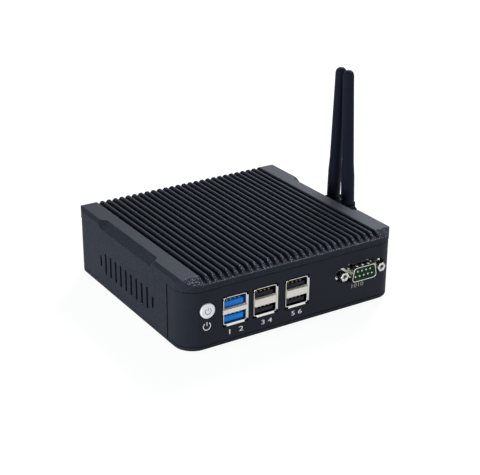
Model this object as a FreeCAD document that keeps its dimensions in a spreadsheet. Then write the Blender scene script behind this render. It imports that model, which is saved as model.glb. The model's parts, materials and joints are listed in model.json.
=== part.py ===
import FreeCAD, Part
import math
import os
import re

import Sketcher
from FreeCAD import Vector

# Fanless mini computer: a finned die-cast cover with its own side walls, two wrapped end
# panels, a base plate, the board and cards inside, the sockets in both panels, a push
# button and two aerials on swivels.
# Millimetres. X runs along the front panel to the right, Y from front to back, Z up.
# The origin is the middle of the base plate's underside; the feet reach below it.

SIZES = (
    # the case
    ("case_width", 134.0, "over the two end panels' returns"),
    ("case_depth", 126.0, "front panel face to rear panel face"),
    ("case_height", 39.6, "base plate underside to fin tops"),
    ("corner_radius", 11.0, "upright corners of the case"),
    ("base_thickness", 2.2, "base plate"),
    ("base_edge", 0.5, "chamfer round the base plate's lower edge"),
    ("base_gap", 0.3, "shadow line above the base plate"),
    ("cover_proud", 0.2, "how far the cover stands out past the panels"),
    ("parting_height", 32.8, "top edge of the end panels"),
    ("parting_gap", 0.35, "shadow line between the panels and the cover"),
    ("wall_thickness", 2.4, "side walls of the cover"),
    ("roof_thickness", 2.6, "metal left under the grooves"),
    ("panel_thickness", 2.0, "end panels"),
    ("front_return", 17.15, "front panel's wrap along each side"),
    ("front_seam", 0.7, "open seam behind the front panel's wrap"),
    ("rear_return", 17.4, "rear panel's wrap along each side"),
    ("rear_seam", 0.2, "tight seam at the rear panel's wrap"),
    # fins and bevels of the cover
    ("groove_count", 27.0, "grooves between the fins"),
    ("groove_width", 2.35, "groove, between two fins' flanks"),
    ("groove_depth", 3.0, "groove"),
    ("groove_pitch", 4.15, "fin to fin"),
    ("crown_radius", 0.85, "round crowns of the fins"),
    ("crown_lift", 0.01, "crown's arc past the fin tops, so that the cut crosses them"),
    ("front_bevel_run", 5.6, "front bevel, along the case"),
    ("front_bevel_drop", 3.15, "front bevel, down"),
    ("rear_bevel_run", 5.2, "rear bevel, along the case"),
    ("rear_bevel_drop", 5.6, "rear bevel, down"),
    ("crease_radius", 2.0, "rounded crease between the top and each bevel"),
    ("edge_chamfer", 1.8, "top side edges"),
    ("scoop_run", 4.7, "finger scoops, inwards"),
    ("scoop_drop", 3.8, "finger scoops, down"),
    ("scoop_length", 57.0, "finger scoops, along the lower edge"),
    ("scoop_centre", 1.0, "middle of the scoops, back from the case's middle"),
    ("scoop_flare", 5.2, "mitred ends of the scoops"),
    ("scoop_tip", 0.05, "scoops' ends, where they run out in the edge"),
    # side vents
    ("vent_half_count", 5.0, "slots each side of the middle one"),
    ("vent_pitch", 6.05, "slot to slot"),
    ("vent_width", 2.1, "slot"),
    ("vent_middle", 16.0, "height of the slots' middle"),
    ("vent_height", 12.8, "full slots"),
    ("short_vent_height", 6.8, "first and last slots"),
    ("vent_web", 1.1, "wall left round the slots by the relief inside"),
    ("vent_margin", 0.6, "relief past the slots"),
    # posts, bosses and screws
    ("post_radius", 3.6, "cover posts down to the base plate"),
    ("post_spacing", 72.0, "posts, front to back"),
    ("boss_radius", 3.2, "cover bosses down to the board"),
    ("boss_inset", 5.0, "bosses, in from the board's side edges"),
    ("boss_depth_spacing", 88.0, "bosses, front to back"),
    ("root_overlap", 0.5, "how far a post, boss, pin or bar runs into its parent"),
    ("screw_radius", 1.5, "machine screw thread"),
    ("tapped_radius", 1.52, "tapped hole, at the screw's outside"),
    ("tapped_depth", 6.5, "tapped hole"),
    ("screw_length", 6.0, "machine screw, with a countersunk head's height"),
    ("screw_passage", 0.15, "clearance round a screw in a plain hole"),
    ("screw_head_radius", 2.8, "machine screw head"),
    ("screw_sunk", 0.1, "screw heads, below the base plate's face"),
    ("countersink_depth", 1.6, "countersunk head"),
    ("pan_head_height", 1.4, "board screw head"),
    ("drive_radius", 0.95, "screw drive recess"),
    ("drive_depth", 0.8, "screw drive recess"),
    ("tab_width", 9.0, "end panels' screw tabs"),
    ("tab_depth", 6.5, "end panels' screw tabs"),
    ("tab_height", 6.0, "end panels' screw tabs"),
    ("tab_spacing", 96.0, "screw tabs, side to side"),
    ("bracket_spacing", 75.0, "bracket holes in the base plate"),
    ("bracket_hole_radius", 1.65, "bracket holes, tapped for a 4 mm screw"),
    ("bracket_boss_radius", 4.0, "bosses round the bracket holes"),
    ("bracket_boss_height", 3.0, "bosses round the bracket holes"),
    ("foot_radius", 5.5, "rubber feet"),
    ("foot_height", 2.0, "rubber feet"),
    ("foot_edge", 0.6, "broken lower edge of the feet"),
    ("foot_inset", 15.0, "rubber feet, from the case's edges"),
    # the board and what it carries
    ("board_underside", 25.9, "board's lower face, above the base plate's underside"),
    ("board_thickness", 1.6, "board"),
    ("board_side_gap", 10.5, "case's sides to the board's edges"),
    ("board_front_gap", 2.6, "front panel's inside to the board"),
    ("board_rear_gap", 1.5, "rear panel's inside to the board"),
    ("board_corner", 4.0, "board corners"),
    ("processor_width", 25.0, "processor carrier"),
    ("processor_depth", 27.0, "processor carrier"),
    ("processor_thickness", 1.0, "processor carrier"),
    ("processor_centre_y", 8.0, "processor, back from the middle"),
    ("die_width", 11.0, "bare die"),
    ("die_depth", 9.0, "bare die"),
    ("die_thickness", 0.4, "bare die"),
    ("thermal_pad_thickness", 0.5, "pad between die and pedestal"),
    ("thermal_pad_margin", 2.0, "pad past the die, all round"),
    ("pedestal_size", 36.0, "cover pedestal over the processor"),
    ("memory_centre_x", -10.0, "memory module"),
    ("memory_back_y", -9.5, "memory module's free edge"),
    ("memory_width", 67.6, "memory module"),
    ("memory_depth", 30.0, "memory module"),
    ("card_thickness", 1.0, "modules and cards"),
    ("card_drop", 2.2, "board underside to the cards' upper face"),
    ("socket_grip", 2.0, "how far a card sits in its socket"),
    ("socket_slot_clearance", 0.1, "round a card in its socket"),
    ("socket_width_margin", 2.0, "socket past the card at each end"),
    ("socket_depth", 6.0, "card sockets"),
    ("socket_height", 5.0, "card sockets"),
    ("latch_length", 24.0, "memory socket's side latches"),
    ("latch_width", 3.5, "memory socket's side latches"),
    ("chip_thickness", 0.9, "packages on the cards"),
    ("card_chip_inset", 8.0, "slot-in cards' packages, from the short edges"),
    ("card_chip_width", 14.0, "slot-in cards' packages, along Y"),
    ("memory_chip_width", 12.0, "memory packages"),
    ("memory_chip_depth", 10.0, "memory packages"),
    ("card_centre_y", 20.0, "both slot-in cards"),
    ("card_width", 30.0, "both slot-in cards, along Y"),
    ("storage_free_x", 6.0, "storage card's screwed end"),
    ("storage_length", 51.0, "storage card"),
    ("wireless_free_x", 43.0, "wireless card's screwed end"),
    ("wireless_length", 26.8, "wireless card"),
    ("standoff_radius", 2.0, "card standoffs"),
    ("standoff_inset", 2.6, "standoffs, from the card's corner edges"),
    ("card_screw_radius", 1.7, "heads of the card screws"),
    ("card_screw_height", 0.8, "heads of the card screws"),
    ("card_drive_radius", 0.75, "drive recess of the card screws"),
    ("cell_radius", 10.0, "coin cell"),
    ("cell_thickness", 3.2, "coin cell"),
    ("cell_gap", 0.6, "memory socket's latch to the cell holder"),
    ("cell_edge", 0.4, "coin cell's broken lower edge"),
    ("cell_centre_y", -26.0, "coin cell"),
    ("holder_floor", 1.0, "cell holder's floor"),
    ("holder_wall", 1.2, "cell holder's wall"),
    ("cell_showing", 0.7, "how far the cell stands out of its holder"),
    ("holder_clearance", 0.1, "round the cell"),
    # stacked data ports in the front panel
    ("port_front", 0.4, "mouth of the ports, past the panel's face"),
    ("port_depth", 16.4, "port shells"),
    ("port_width", 13.7, "port shells"),
    ("port_height", 15.2, "port shells"),
    ("port_wall", 0.4, "port shells"),
    ("flap_reach", 0.7, "flared flaps, forwards and outwards"),
    ("flap_width", 10.8, "top and bottom flaps"),
    ("flap_height", 13.2, "side flaps"),
    ("port_cutout_gap", 0.25, "panel cut-out round the flaps"),
    ("port_back_wall", 3.0, "insulator's back wall"),
    ("tongue_width", 11.2, "insulator tongues"),
    ("tongue_thickness", 2.0, "slow ports' tongues"),
    ("fast_tongue_thickness", 2.9, "fast ports' tongues"),
    ("tongue_recess", 1.9, "tongue ends, behind the mouth"),
    ("tongue_gap", 0.7, "below each tongue"),
    ("contact_width", 1.0, "spring contacts"),
    ("contact_pitch", 2.5, "spring contacts"),
    ("contact_height", 0.35, "spring contacts"),
    ("contact_setback", 1.2, "contacts, behind the tongue's end"),
    ("divider_height", 4.0, "bar between the slow ports"),
    ("fast_divider_height", 2.4, "bar between the fast ports"),
    ("divider_depth", 2.4, "bars"),
    ("port_1_step", 16.7, "push button to the fast ports"),
    ("port_2_step", 18.3, "fast ports to the first slow ones"),
    ("port_3_step", 19.8, "first slow ports to the second ones"),
    # serial socket in the front panel and its like at the rear
    ("serial_inset", 24.3, "nine-pin plug, from the case's side"),
    ("serial_z", 20.6, "nine-pin plug"),
    ("lock_spacing", 24.99, "jack screws"),
    ("lock_hex_radius", 2.75, "jack screws, across the corners"),
    ("lock_length", 5.0, "jack screws"),
    ("lock_thread_radius", 1.2, "thread in the jack screws"),
    ("flange_gap", 0.4, "panel's inside to the flange, clear of the corner's curve"),
    ("flange_thickness", 0.8, "flange behind the panel"),
    ("flange_width", 30.8, "flange"),
    ("flange_height", 10.4, "flange"),
    ("sleeve_reach", 5.9, "shell's nose, ahead of the flange"),
    ("sleeve_half_wide", 8.45, "shell's nose, long side"),
    ("sleeve_half_narrow", 7.0, "shell's nose, short side"),
    ("sleeve_half_height", 4.15, "shell's nose"),
    ("sleeve_corner", 2.0, "shell's nose, rounded corners"),
    ("sleeve_wall", 0.4, "shell's nose"),
    ("sleeve_fit", 0.02, "insulator inside the nose"),
    ("sleeve_clearance", 1.4, "panel cut-out round the nose"),
    ("lock_clearance_radius", 4.2, "panel cut-out round a jack screw"),
    ("socket_body_depth", 11.0, "insulator behind the flange"),
    ("serial_floor", 3.4, "insulator's face, behind the nose's rim"),
    ("pin_radius", 0.5, "serial pins"),
    ("pin_pitch", 2.77, "serial pins"),
    ("pin_row_spacing", 2.84, "serial pins"),
    ("pin_reach", 2.6, "serial pins, ahead of the insulator"),
    # power button
    ("button_inset", 13.3, "push button, from the case's side"),
    ("button_z", 22.0, "push button"),
    ("button_radius", 4.1, "push button"),
    ("button_clearance", 0.25, "round the button in its hole"),
    ("button_proud", 0.9, "button, past the panel's face"),
    ("button_edge", 0.3, "button's broken edge"),
    ("button_collar", 0.7, "button's collar, past its rim"),
    ("button_collar_thickness", 0.9, "button's collar"),
    ("button_collar_gap", 0.65, "panel's inside to the collar, clear of the corner's curve"),
    ("button_travel", 0.6, "push button"),
    ("stem_radius", 1.6, "switch plunger"),
    ("stem_length", 2.2, "switch plunger"),
    ("switch_size", 6.2, "switch housing"),
    ("switch_depth", 3.6, "switch housing"),
    ("switch_clearance", 0.05, "round the plunger"),
    ("switch_gap", 0.2, "left in front of the switch when the button is pressed"),
    # rear sockets
    ("power_inlet_inset", 16.0, "power inlet, from the case's side"),
    ("power_inlet_width", 9.0, "power inlet"),
    ("power_inlet_height", 11.0, "power inlet"),
    ("power_inlet_depth", 13.5, "power inlet"),
    ("power_bore_radius", 3.1, "power inlet"),
    ("power_bore_depth", 9.0, "power inlet"),
    ("power_pin_radius", 1.05, "power inlet's pin"),
    ("power_pin_setback", 1.0, "pin's end, inside the inlet's mouth"),
    ("video_step", 14.0, "power inlet to the video socket"),
    ("video_half_width", 7.5, "video socket"),
    ("video_height", 5.8, "video socket"),
    ("video_corner", 1.6, "video socket's slanted corners"),
    ("video_depth", 11.0, "video socket"),
    ("video_wall", 0.4, "video socket"),
    ("video_tongue_width", 11.0, "video socket's tongue"),
    ("video_tongue_thickness", 1.2, "video socket's tongue"),
    ("video_tongue_setback", 1.5, "tongue's end, inside the socket's mouth"),
    ("video_back_wall", 1.0, "video socket"),
    ("display_step", 25.0, "video socket to the fifteen-hole socket"),
    ("display_hole_pitch", 2.29, "fifteen-hole socket"),
    ("display_row_spacing", 1.98, "fifteen-hole socket"),
    ("display_hole_radius", 0.5, "fifteen-hole socket"),
    ("display_hole_depth", 5.0, "fifteen-hole socket"),
    ("display_setback", 0.3, "insulator's face, inside the nose's rim"),
    ("network_step", 14.0, "inner audio socket to the outer network socket"),
    ("network_spacing", 17.0, "network socket to network socket"),
    ("network_width", 16.0, "network sockets"),
    ("network_height", 13.4, "network sockets"),
    ("network_depth", 21.0, "network sockets"),
    ("network_mouth_width", 11.9, "network sockets' mouth"),
    ("network_mouth_height", 7.9, "network sockets' mouth"),
    ("network_mouth_depth", 12.5, "network sockets' mouth"),
    ("network_mouth_lift", 3.2, "mouth above the socket's lower face"),
    ("network_key_width", 6.0, "latch notch"),
    ("network_key_height", 1.8, "latch notch"),
    ("network_contact_width", 0.5, "network contacts"),
    ("network_contact_pitch", 1.02, "network contacts"),
    ("network_contact_thickness", 0.5, "network contacts"),
    ("network_contact_length", 7.0, "network contacts"),
    ("audio_inset", 15.0, "outer audio socket, from the case's side"),
    ("audio_spacing", 8.5, "audio socket to audio socket"),
    ("audio_radius", 3.0, "audio sockets' nose"),
    ("audio_bore_radius", 1.8, "audio sockets"),
    ("audio_bore_depth", 12.0, "audio sockets"),
    ("audio_body_size", 6.6, "audio sockets' body"),
    ("audio_back_wall", 1.0, "audio sockets' body"),
    ("audio_body_gap", 0.3, "audio sockets' body to the panel's inside"),
    ("audio_drop", 3.4, "audio sockets' axis, below the board"),
    ("rear_proud", 0.3, "rear sockets, past the panel's face"),
    ("rear_clearance", 0.3, "panel cut-outs round the rear sockets"),
    # aerials on the right-hand wall
    ("aerial_z", 24.0, "aerial connectors"),
    ("aerial_middle_y", 9.45, "midway between the two aerials"),
    ("aerial_spacing", 14.7, "aerial to aerial"),
    ("jack_thread_radius", 3.15, "wall jack"),
    ("jack_clearance", 0.1, "wall jack in its hole"),
    ("jack_reach", 7.0, "wall jack, outside the wall"),
    ("jack_tail", 5.0, "wall jack, inside the wall"),
    ("jack_shoulder_radius", 4.2, "wall jack's inner shoulder"),
    ("jack_shoulder_thickness", 1.5, "wall jack's inner shoulder"),
    ("jack_bore_radius", 2.3, "wall jack's open nose"),
    ("jack_bore_depth", 4.0, "wall jack's open nose"),
    ("thread_fit", 0.02, "nuts round the jack's thread"),
    ("hex_nut_radius", 4.6, "hexagon nut, across the corners"),
    ("hex_nut_thickness", 2.0, "hexagon nut"),
    ("coupling_radius", 4.6, "knurled coupling nut"),
    ("coupling_length", 8.0, "knurled coupling nut"),
    ("coupling_gap", 0.2, "between the two nuts"),
    ("coupling_wall", 1.3, "knurled coupling nut, over the thread"),
    ("coupling_neck_radius", 2.6, "hole for the swivel's neck"),
    ("pivot_reach", 15.8, "aerial hinge, out from the wall"),
    ("knuckle_radius", 4.7, "swivel knuckle"),
    ("knuckle_floor", 5.0, "knuckle's slot floor, from the hinge"),
    ("knuckle_flat", 4.5, "half width across the knuckle's ears"),
    ("ear_radius", 4.05, "round ends of the knuckle's ears"),
    ("neck_radius", 2.5, "swivel's neck"),
    ("neck_length", 3.2, "swivel's neck"),
    ("neck_gap", 0.3, "coupling nut to knuckle"),
    ("tongue_half_width", 1.9, "aerial's hinge tongue"),
    ("ear_gap", 0.25, "each side of the hinge tongue"),
    ("hinge_eye_radius", 4.4, "aerial's hinge tongue"),
    ("hinge_pin_radius", 1.2, "hinge pin"),
    ("hinge_pin_clearance", 0.05, "hinge pin in the tongue"),
    ("mast_start", 5.0, "aerial's round body, from the hinge"),
    ("mast_length", 86.0, "aerial, hinge to tip"),
    ("mast_base_radius", 4.0, "aerial's sleeve"),
    ("mast_base_edge", 0.6, "broken edge at the sleeve's root"),
    ("mast_sleeve_end", 22.0, "end of the thicker sleeve"),
    ("mast_shoulder_end", 30.0, "end of the sleeve's taper"),
    ("mast_shoulder_radius", 3.6, "aerial above the sleeve"),
    ("mast_tip_radius", 3.35, "aerial at the tip"),
    ("mast_cap_length", 11.0, "ring groove, from the tip"),
    ("mast_groove", 0.22, "ring groove's depth"),
    ("lean_front", -3.4, "front aerial's resting turn, about its connector"),
    ("lean_rear", 1.9, "rear aerial's resting turn, about its connector"),
)

EPS = 0.01  # slack used to find faces and edges by their place

document = FreeCAD.newDocument("fanless_computer")
sheet = document.addObject("Spreadsheet::Sheet", "Sizes")
for row, (alias, value, note) in enumerate(SIZES, start=1):
    sheet.set("A%d" % row, alias)
    sheet.set("B%d" % row, str(value))
    sheet.set("C%d" % row, note)
    sheet.setAlias("B%d" % row, alias)
document.recompute()

parts = []


def linked(text):
    """Return an expression with each size name pointed at the sheet."""
    return re.sub(r"\b[a-z]+(?:_[a-z0-9]+)+\b", lambda name: "Sizes." + name.group(0), text)


def size(text):
    """Return the present value of an expression of size names."""
    return float(sheet.evalExpression(text))


# ---- sketches -------------------------------------------------------------------------


def new_body(label):
    """Start a sub-part whose file is named by its label."""
    body = document.addObject("PartDesign::Body", label)
    body.Label = label
    parts.append(body)
    return body


def place(body, x="0", y="0", z="0"):
    """Tie a body's place to the sheet."""
    for axis, text in zip("xyz", (x, y, z)):
        body.setExpression("Placement.Base." + axis, linked(text))


PLANES = {"Z": "XY_Plane", "Y": "XZ_Plane", "X": "YZ_Plane"}


def new_sketch(body, axis, station):
    """Sketch square to an axis of the body, at a station along it."""
    sketch = body.newObject("Sketcher::SketchObject", "outline")
    plane = [item for item in body.Origin.OriginFeatures if item.Role == PLANES[axis]][0]
    sketch.AttachmentSupport = [(plane, "")]
    sketch.MapMode = "FlatFace"
    # the XZ plane's normal points to -Y, the other two along their axes
    offset = "-(%s)" % station if axis == "Y" else station
    sketch.setExpression("AttachmentOffset.Base.z", linked(offset))
    return sketch


def pin(sketch, kind, element, text, point=None):
    """Add a dimension and tie it to the sheet."""
    if point is None:
        rule = Sketcher.Constraint(kind, element, size(text))
    else:
        rule = Sketcher.Constraint(kind, element, point, size(text))
    index = sketch.addConstraint(rule)
    sketch.setExpression("Constraints[%d]" % index, linked(text))


def polygon(sketch, *corners):
    """Closed straight-sided outline; each corner is a pair of expressions."""
    points = [Vector(size(across), size(up), 0) for across, up in corners]
    first = sketch.GeometryCount
    count = len(corners)
    for index in range(count):
        sketch.addGeometry(Part.LineSegment(points[index], points[(index + 1) % count]))
    for index in range(count):
        following = first + (index + 1) % count
        sketch.addConstraint(Sketcher.Constraint("Coincident", first + index, 2, following, 1))
    for index, (across, up) in enumerate(corners):
        pin(sketch, "DistanceX", first + index, across, 1)
        pin(sketch, "DistanceY", first + index, up, 1)


def box(sketch, left, right, low, high):
    """Rectangle between four expressions."""
    polygon(sketch, (left, low), (right, low), (right, high), (left, high))


def centred(sketch, across, up, width, height):
    """Rectangle about a point."""
    box(
        sketch,
        "%s - (%s) / 2" % (across, width),
        "%s + (%s) / 2" % (across, width),
        "%s - (%s) / 2" % (up, height),
        "%s + (%s) / 2" % (up, height),
    )


def circle(sketch, across, up, radius):
    """Circle about a point."""
    round_edge = Part.Circle(Vector(size(across), size(up), 0), Vector(0, 0, 1), size(radius))
    element = sketch.addGeometry(round_edge)
    pin(sketch, "DistanceX", element, across, 3)
    pin(sketch, "DistanceY", element, up, 3)
    pin(sketch, "Radius", element, radius)


def slot(sketch, across, low, high, radius):
    """Upright slot with two round ends."""
    middle, end = size(across), size(radius)
    base, top = size(low) + end, size(high) - end
    up = Part.Circle(Vector(middle, top, 0), Vector(0, 0, 1), end)
    down = Part.Circle(Vector(middle, base, 0), Vector(0, 0, 1), end)
    first = sketch.GeometryCount
    sketch.addGeometry(Part.ArcOfCircle(up, 0, math.pi))
    sketch.addGeometry(Part.LineSegment(Vector(middle - end, top, 0), Vector(middle - end, base, 0)))
    sketch.addGeometry(Part.ArcOfCircle(down, math.pi, 2 * math.pi))
    sketch.addGeometry(Part.LineSegment(Vector(middle + end, base, 0), Vector(middle + end, top, 0)))
    for index in range(4):
        following = first + (index + 1) % 4
        sketch.addConstraint(Sketcher.Constraint("Tangent", first + index, 2, following, 1))
    pin(sketch, "DistanceX", first, across, 3)
    pin(sketch, "DistanceY", first, "%s - (%s)" % (high, radius), 3)
    pin(sketch, "DistanceY", first + 2, "%s + (%s)" % (low, radius), 3)
    pin(sketch, "Radius", first, radius)


def flute(sketch, across, floor, top, half_width, crown):
    """Groove between two fins: a round floor, straight flanks and a flare to each fin's crown."""
    shoulder = "%s + crown_lift - %s" % (top, crown)
    turn = math.pi / 2
    middle, half, radius = size(across), size(half_width), size(crown)
    low, bend, brow, lid = size(floor) + half, size(shoulder), size(shoulder) + radius, size(top) + 1
    left, right = middle - half, middle + half
    up = Vector(0, 0, 1)
    hollow = Part.Circle(Vector(middle, low, 0), up, half)
    right_flare = Part.Circle(Vector(right + radius, bend, 0), up, radius)
    left_flare = Part.Circle(Vector(left - radius, bend, 0), up, radius)
    corners = (
        Vector(right + radius, brow, 0),
        Vector(right + radius, lid, 0),
        Vector(left - radius, lid, 0),
        Vector(left - radius, brow, 0),
    )
    floor_arc = sketch.addGeometry(Part.ArcOfCircle(hollow, 2 * turn, 4 * turn))
    right_flank = sketch.addGeometry(Part.LineSegment(Vector(right, low, 0), Vector(right, bend, 0)))
    right_arc = sketch.addGeometry(Part.ArcOfCircle(right_flare, turn, 2 * turn))
    right_side = sketch.addGeometry(Part.LineSegment(corners[0], corners[1]))
    roof = sketch.addGeometry(Part.LineSegment(corners[1], corners[2]))
    left_side = sketch.addGeometry(Part.LineSegment(corners[2], corners[3]))
    left_arc = sketch.addGeometry(Part.ArcOfCircle(left_flare, 0, turn))
    left_flank = sketch.addGeometry(Part.LineSegment(Vector(left, bend, 0), Vector(left, low, 0)))
    joins = (
        ("Tangent", floor_arc, 2, right_flank, 1),
        ("Tangent", right_flank, 2, right_arc, 2),
        ("Coincident", right_arc, 1, right_side, 1),
        ("Coincident", right_side, 2, roof, 1),
        ("Coincident", roof, 2, left_side, 1),
        ("Coincident", left_side, 2, left_arc, 2),
        ("Tangent", left_arc, 1, left_flank, 1),
        ("Tangent", left_flank, 2, floor_arc, 1),
        ("Vertical", right_side),
        ("Horizontal", roof),
        ("Vertical", left_side),
    )
    for rule in joins:
        sketch.addConstraint(Sketcher.Constraint(*rule))
    pin(sketch, "Radius", floor_arc, half_width)
    pin(sketch, "Radius", right_arc, crown)
    pin(sketch, "Radius", left_arc, crown)
    pin(sketch, "DistanceX", floor_arc, across, 3)
    pin(sketch, "DistanceY", floor_arc, "%s + %s" % (floor, half_width), 3)
    pin(sketch, "DistanceX", right_arc, "%s + %s + %s" % (across, half_width, crown), 3)
    pin(sketch, "DistanceY", right_arc, shoulder, 3)
    pin(sketch, "DistanceX", left_arc, "%s - %s - %s" % (across, half_width, crown), 3)
    pin(sketch, "DistanceY", left_arc, shoulder, 3)
    pin(sketch, "DistanceX", right_side, "%s + %s + %s" % (across, half_width, crown), 1)
    pin(sketch, "DistanceX", left_side, "%s - %s - %s" % (across, half_width, crown), 2)
    pin(sketch, "DistanceY", roof, "%s + 1" % top, 1)


def hexagon(sketch, across, up, radius):
    """Regular hexagon with its corners on a circle."""
    corners = []
    for step in range(6):
        turn = "%d" % (60 * step)
        corners.append((
            "%s + (%s) * cos(%s)" % (across, radius, turn),
            "%s + (%s) * sin(%s)" % (up, radius, turn),
        ))
    polygon(sketch, *corners)


# ---- features -------------------------------------------------------------------------


def pad(body, axis, low, high, *draw):
    """Add metal between two stations; each draw call puts an outline in the sketch."""
    sketch = new_sketch(body, axis, high if axis == "Y" else low)
    for make, *details in draw:
        make(sketch, *details)
    feature = body.newObject("PartDesign::Pad", "pad")
    feature.Profile = sketch
    feature.setExpression("Length", linked("(%s) - (%s)" % (high, low)))
    return feature


def cut(body, axis, low, high, *draw):
    """Take metal away between two stations."""
    sketch = new_sketch(body, axis, low if axis == "Y" else high)
    for make, *details in draw:
        make(sketch, *details)
    feature = body.newObject("PartDesign::Pocket", "pocket")
    feature.Profile = sketch
    feature.setExpression("Length", linked("(%s) - (%s)" % (high, low)))
    return feature


def revolve(body, axis, *corners):
    """Turn a half-section about the body's own X or Z axis; corners are (along, radius)."""
    plane_axis = "Y"
    sketch = new_sketch(body, plane_axis, "0")
    if axis == "Z":
        polygon(sketch, *[(radius, along) for along, radius in corners])
        reference = "V_Axis"
    else:
        polygon(sketch, *corners)
        reference = "H_Axis"
    feature = body.newObject("PartDesign::Revolution", "turned")
    feature.Profile = sketch
    feature.ReferenceAxis = (sketch, [reference])
    feature.Angle = 360
    return feature


def repeat(body, feature, axis, spacing, count):
    """Copy a feature along an axis of the body."""
    pattern = body.newObject("PartDesign::LinearPattern", "pattern")
    pattern.Originals = [feature]
    role = {"X": "X_Axis", "Y": "Y_Axis", "Z": "Z_Axis"}[axis]
    line = [item for item in body.Origin.OriginFeatures if item.Role == role][0]
    pattern.Direction = (line, [""])
    pattern.Mode = "Spacing"
    pattern.setExpression("Offset", linked(spacing))
    pattern.setExpression("Occurrences", linked(count))
    body.Tip = pattern
    return pattern


def edges_at(feature, test):
    """Names of a feature's edges whose middle point passes a test."""
    document.recompute()
    names = []
    for number, edge in enumerate(feature.Shape.Edges, start=1):
        middle = edge.valueAt((edge.FirstParameter + edge.LastParameter) / 2)
        if test(middle, edge):
            names.append("Edge%d" % number)
    return names


def is_upright(edge):
    """True where an edge is a straight vertical line."""
    start, end = edge.Vertexes[0].Point, edge.Vertexes[-1].Point
    return abs(start.x - end.x) < EPS and abs(start.y - end.y) < EPS and abs(start.z - end.z) > EPS


def is_lengthways(edge, height, offset):
    """True where an edge runs front to back, an offset above or below a height."""
    start, end = edge.Vertexes[0].Point, edge.Vertexes[-1].Point
    runs = abs(start.x - end.x) < EPS and abs(start.z - end.z) < EPS and abs(start.y - end.y) > EPS
    return runs and abs(abs(start.z - size(height)) - size(offset)) < EPS


def fillet(body, feature, radius, test):
    """Round the edges that pass a test."""
    rounded = body.newObject("PartDesign::Fillet", "fillet")
    rounded.Base = (feature, edges_at(feature, test))
    rounded.setExpression("Radius", linked(radius))
    return rounded


def chamfer(body, feature, width, test):
    """Break the edges that pass a test."""
    broken = body.newObject("PartDesign::Chamfer", "chamfer")
    broken.Base = (feature, edges_at(feature, test))
    broken.setExpression("Size", linked(width))
    return broken


# ---- shared places, as expressions ----------------------------------------------------

COVER_HALF_X = "(case_width / 2 + cover_proud)"
COVER_HALF_Y = "(case_depth / 2 + cover_proud)"
WALL_INSIDE = "(case_width / 2 + cover_proud - wall_thickness)"
COVER_EDGE = "(parting_height + parting_gap)"
ROOF_UNDERSIDE = "(case_height - groove_depth - roof_thickness)"
WALL_FOOT = "(base_thickness + base_gap)"
FRONT_FACE = "(-case_depth / 2)"
REAR_FACE = "(case_depth / 2)"
FRONT_INSIDE = "(-case_depth / 2 + panel_thickness)"
REAR_INSIDE = "(case_depth / 2 - panel_thickness)"
BOARD_HALF_X = "(case_width / 2 - board_side_gap)"
BOARD_FRONT = "(-case_depth / 2 + panel_thickness + board_front_gap)"
BOARD_REAR = "(case_depth / 2 - panel_thickness - board_rear_gap)"
BOSS_X = "(case_width / 2 - board_side_gap - boss_inset)"
BOARD_TOP = "(board_underside + board_thickness)"
DIE_TOP = "(board_underside + board_thickness + processor_thickness + die_thickness)"
POST_X = "(case_width / 2 + cover_proud - wall_thickness - post_radius + root_overlap)"
TAB_Y = "(case_depth / 2 - panel_thickness - tab_depth / 2)"
CARD_TOP = "(board_underside - card_drop)"
CARD_LOW = "(board_underside - card_drop - card_thickness)"
CARD_SLOT = (CARD_LOW + " - socket_slot_clearance", CARD_TOP + " + socket_slot_clearance")
SOCKET_LOW = "(board_underside - socket_height)"
PORT_MOUTH = "(-case_depth / 2 - port_front)"
PORT_LOW = "(board_underside - port_height)"
SHELL_FRONT = "(-case_depth / 2 - port_front + flap_reach)"
SHELL_BACK = "(-case_depth / 2 - port_front + port_depth)"
SERIAL_X = "(case_width / 2 - serial_inset)"
BUTTON_X = "(-case_width / 2 + button_inset)"
PORT_X = (
    "(-case_width / 2 + button_inset + port_1_step)",
    "(-case_width / 2 + button_inset + port_1_step + port_2_step)",
    "(-case_width / 2 + button_inset + port_1_step + port_2_step + port_3_step)",
)
POWER_INLET_X = "(case_width / 2 - power_inlet_inset)"
VIDEO_X = "(case_width / 2 - power_inlet_inset - video_step)"
DISPLAY_X = "(case_width / 2 - power_inlet_inset - video_step - display_step)"
AUDIO_X = ("(-case_width / 2 + audio_inset + audio_spacing)", "(-case_width / 2 + audio_inset)")
AUDIO_Z = "(board_underside - audio_drop)"
NETWORK_X = (
    "(-case_width / 2 + audio_inset + audio_spacing + network_step + network_spacing)",
    "(-case_width / 2 + audio_inset + audio_spacing + network_step)",
)
AERIAL_Y = {
    "front": "(aerial_middle_y - aerial_spacing / 2)",
    "rear": "(aerial_middle_y + aerial_spacing / 2)",
}
SIDES = ("-1", "1")


def mirrored_circles(x, y, radius):
    """Four circles at the corners of a rectangle about the middle."""
    return [
        (circle, "%s * (%s)" % (side, x), "%s * (%s)" % (end, y), radius)
        for side in SIDES
        for end in SIDES
    ]


# ---- case -----------------------------------------------------------------------------


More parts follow.
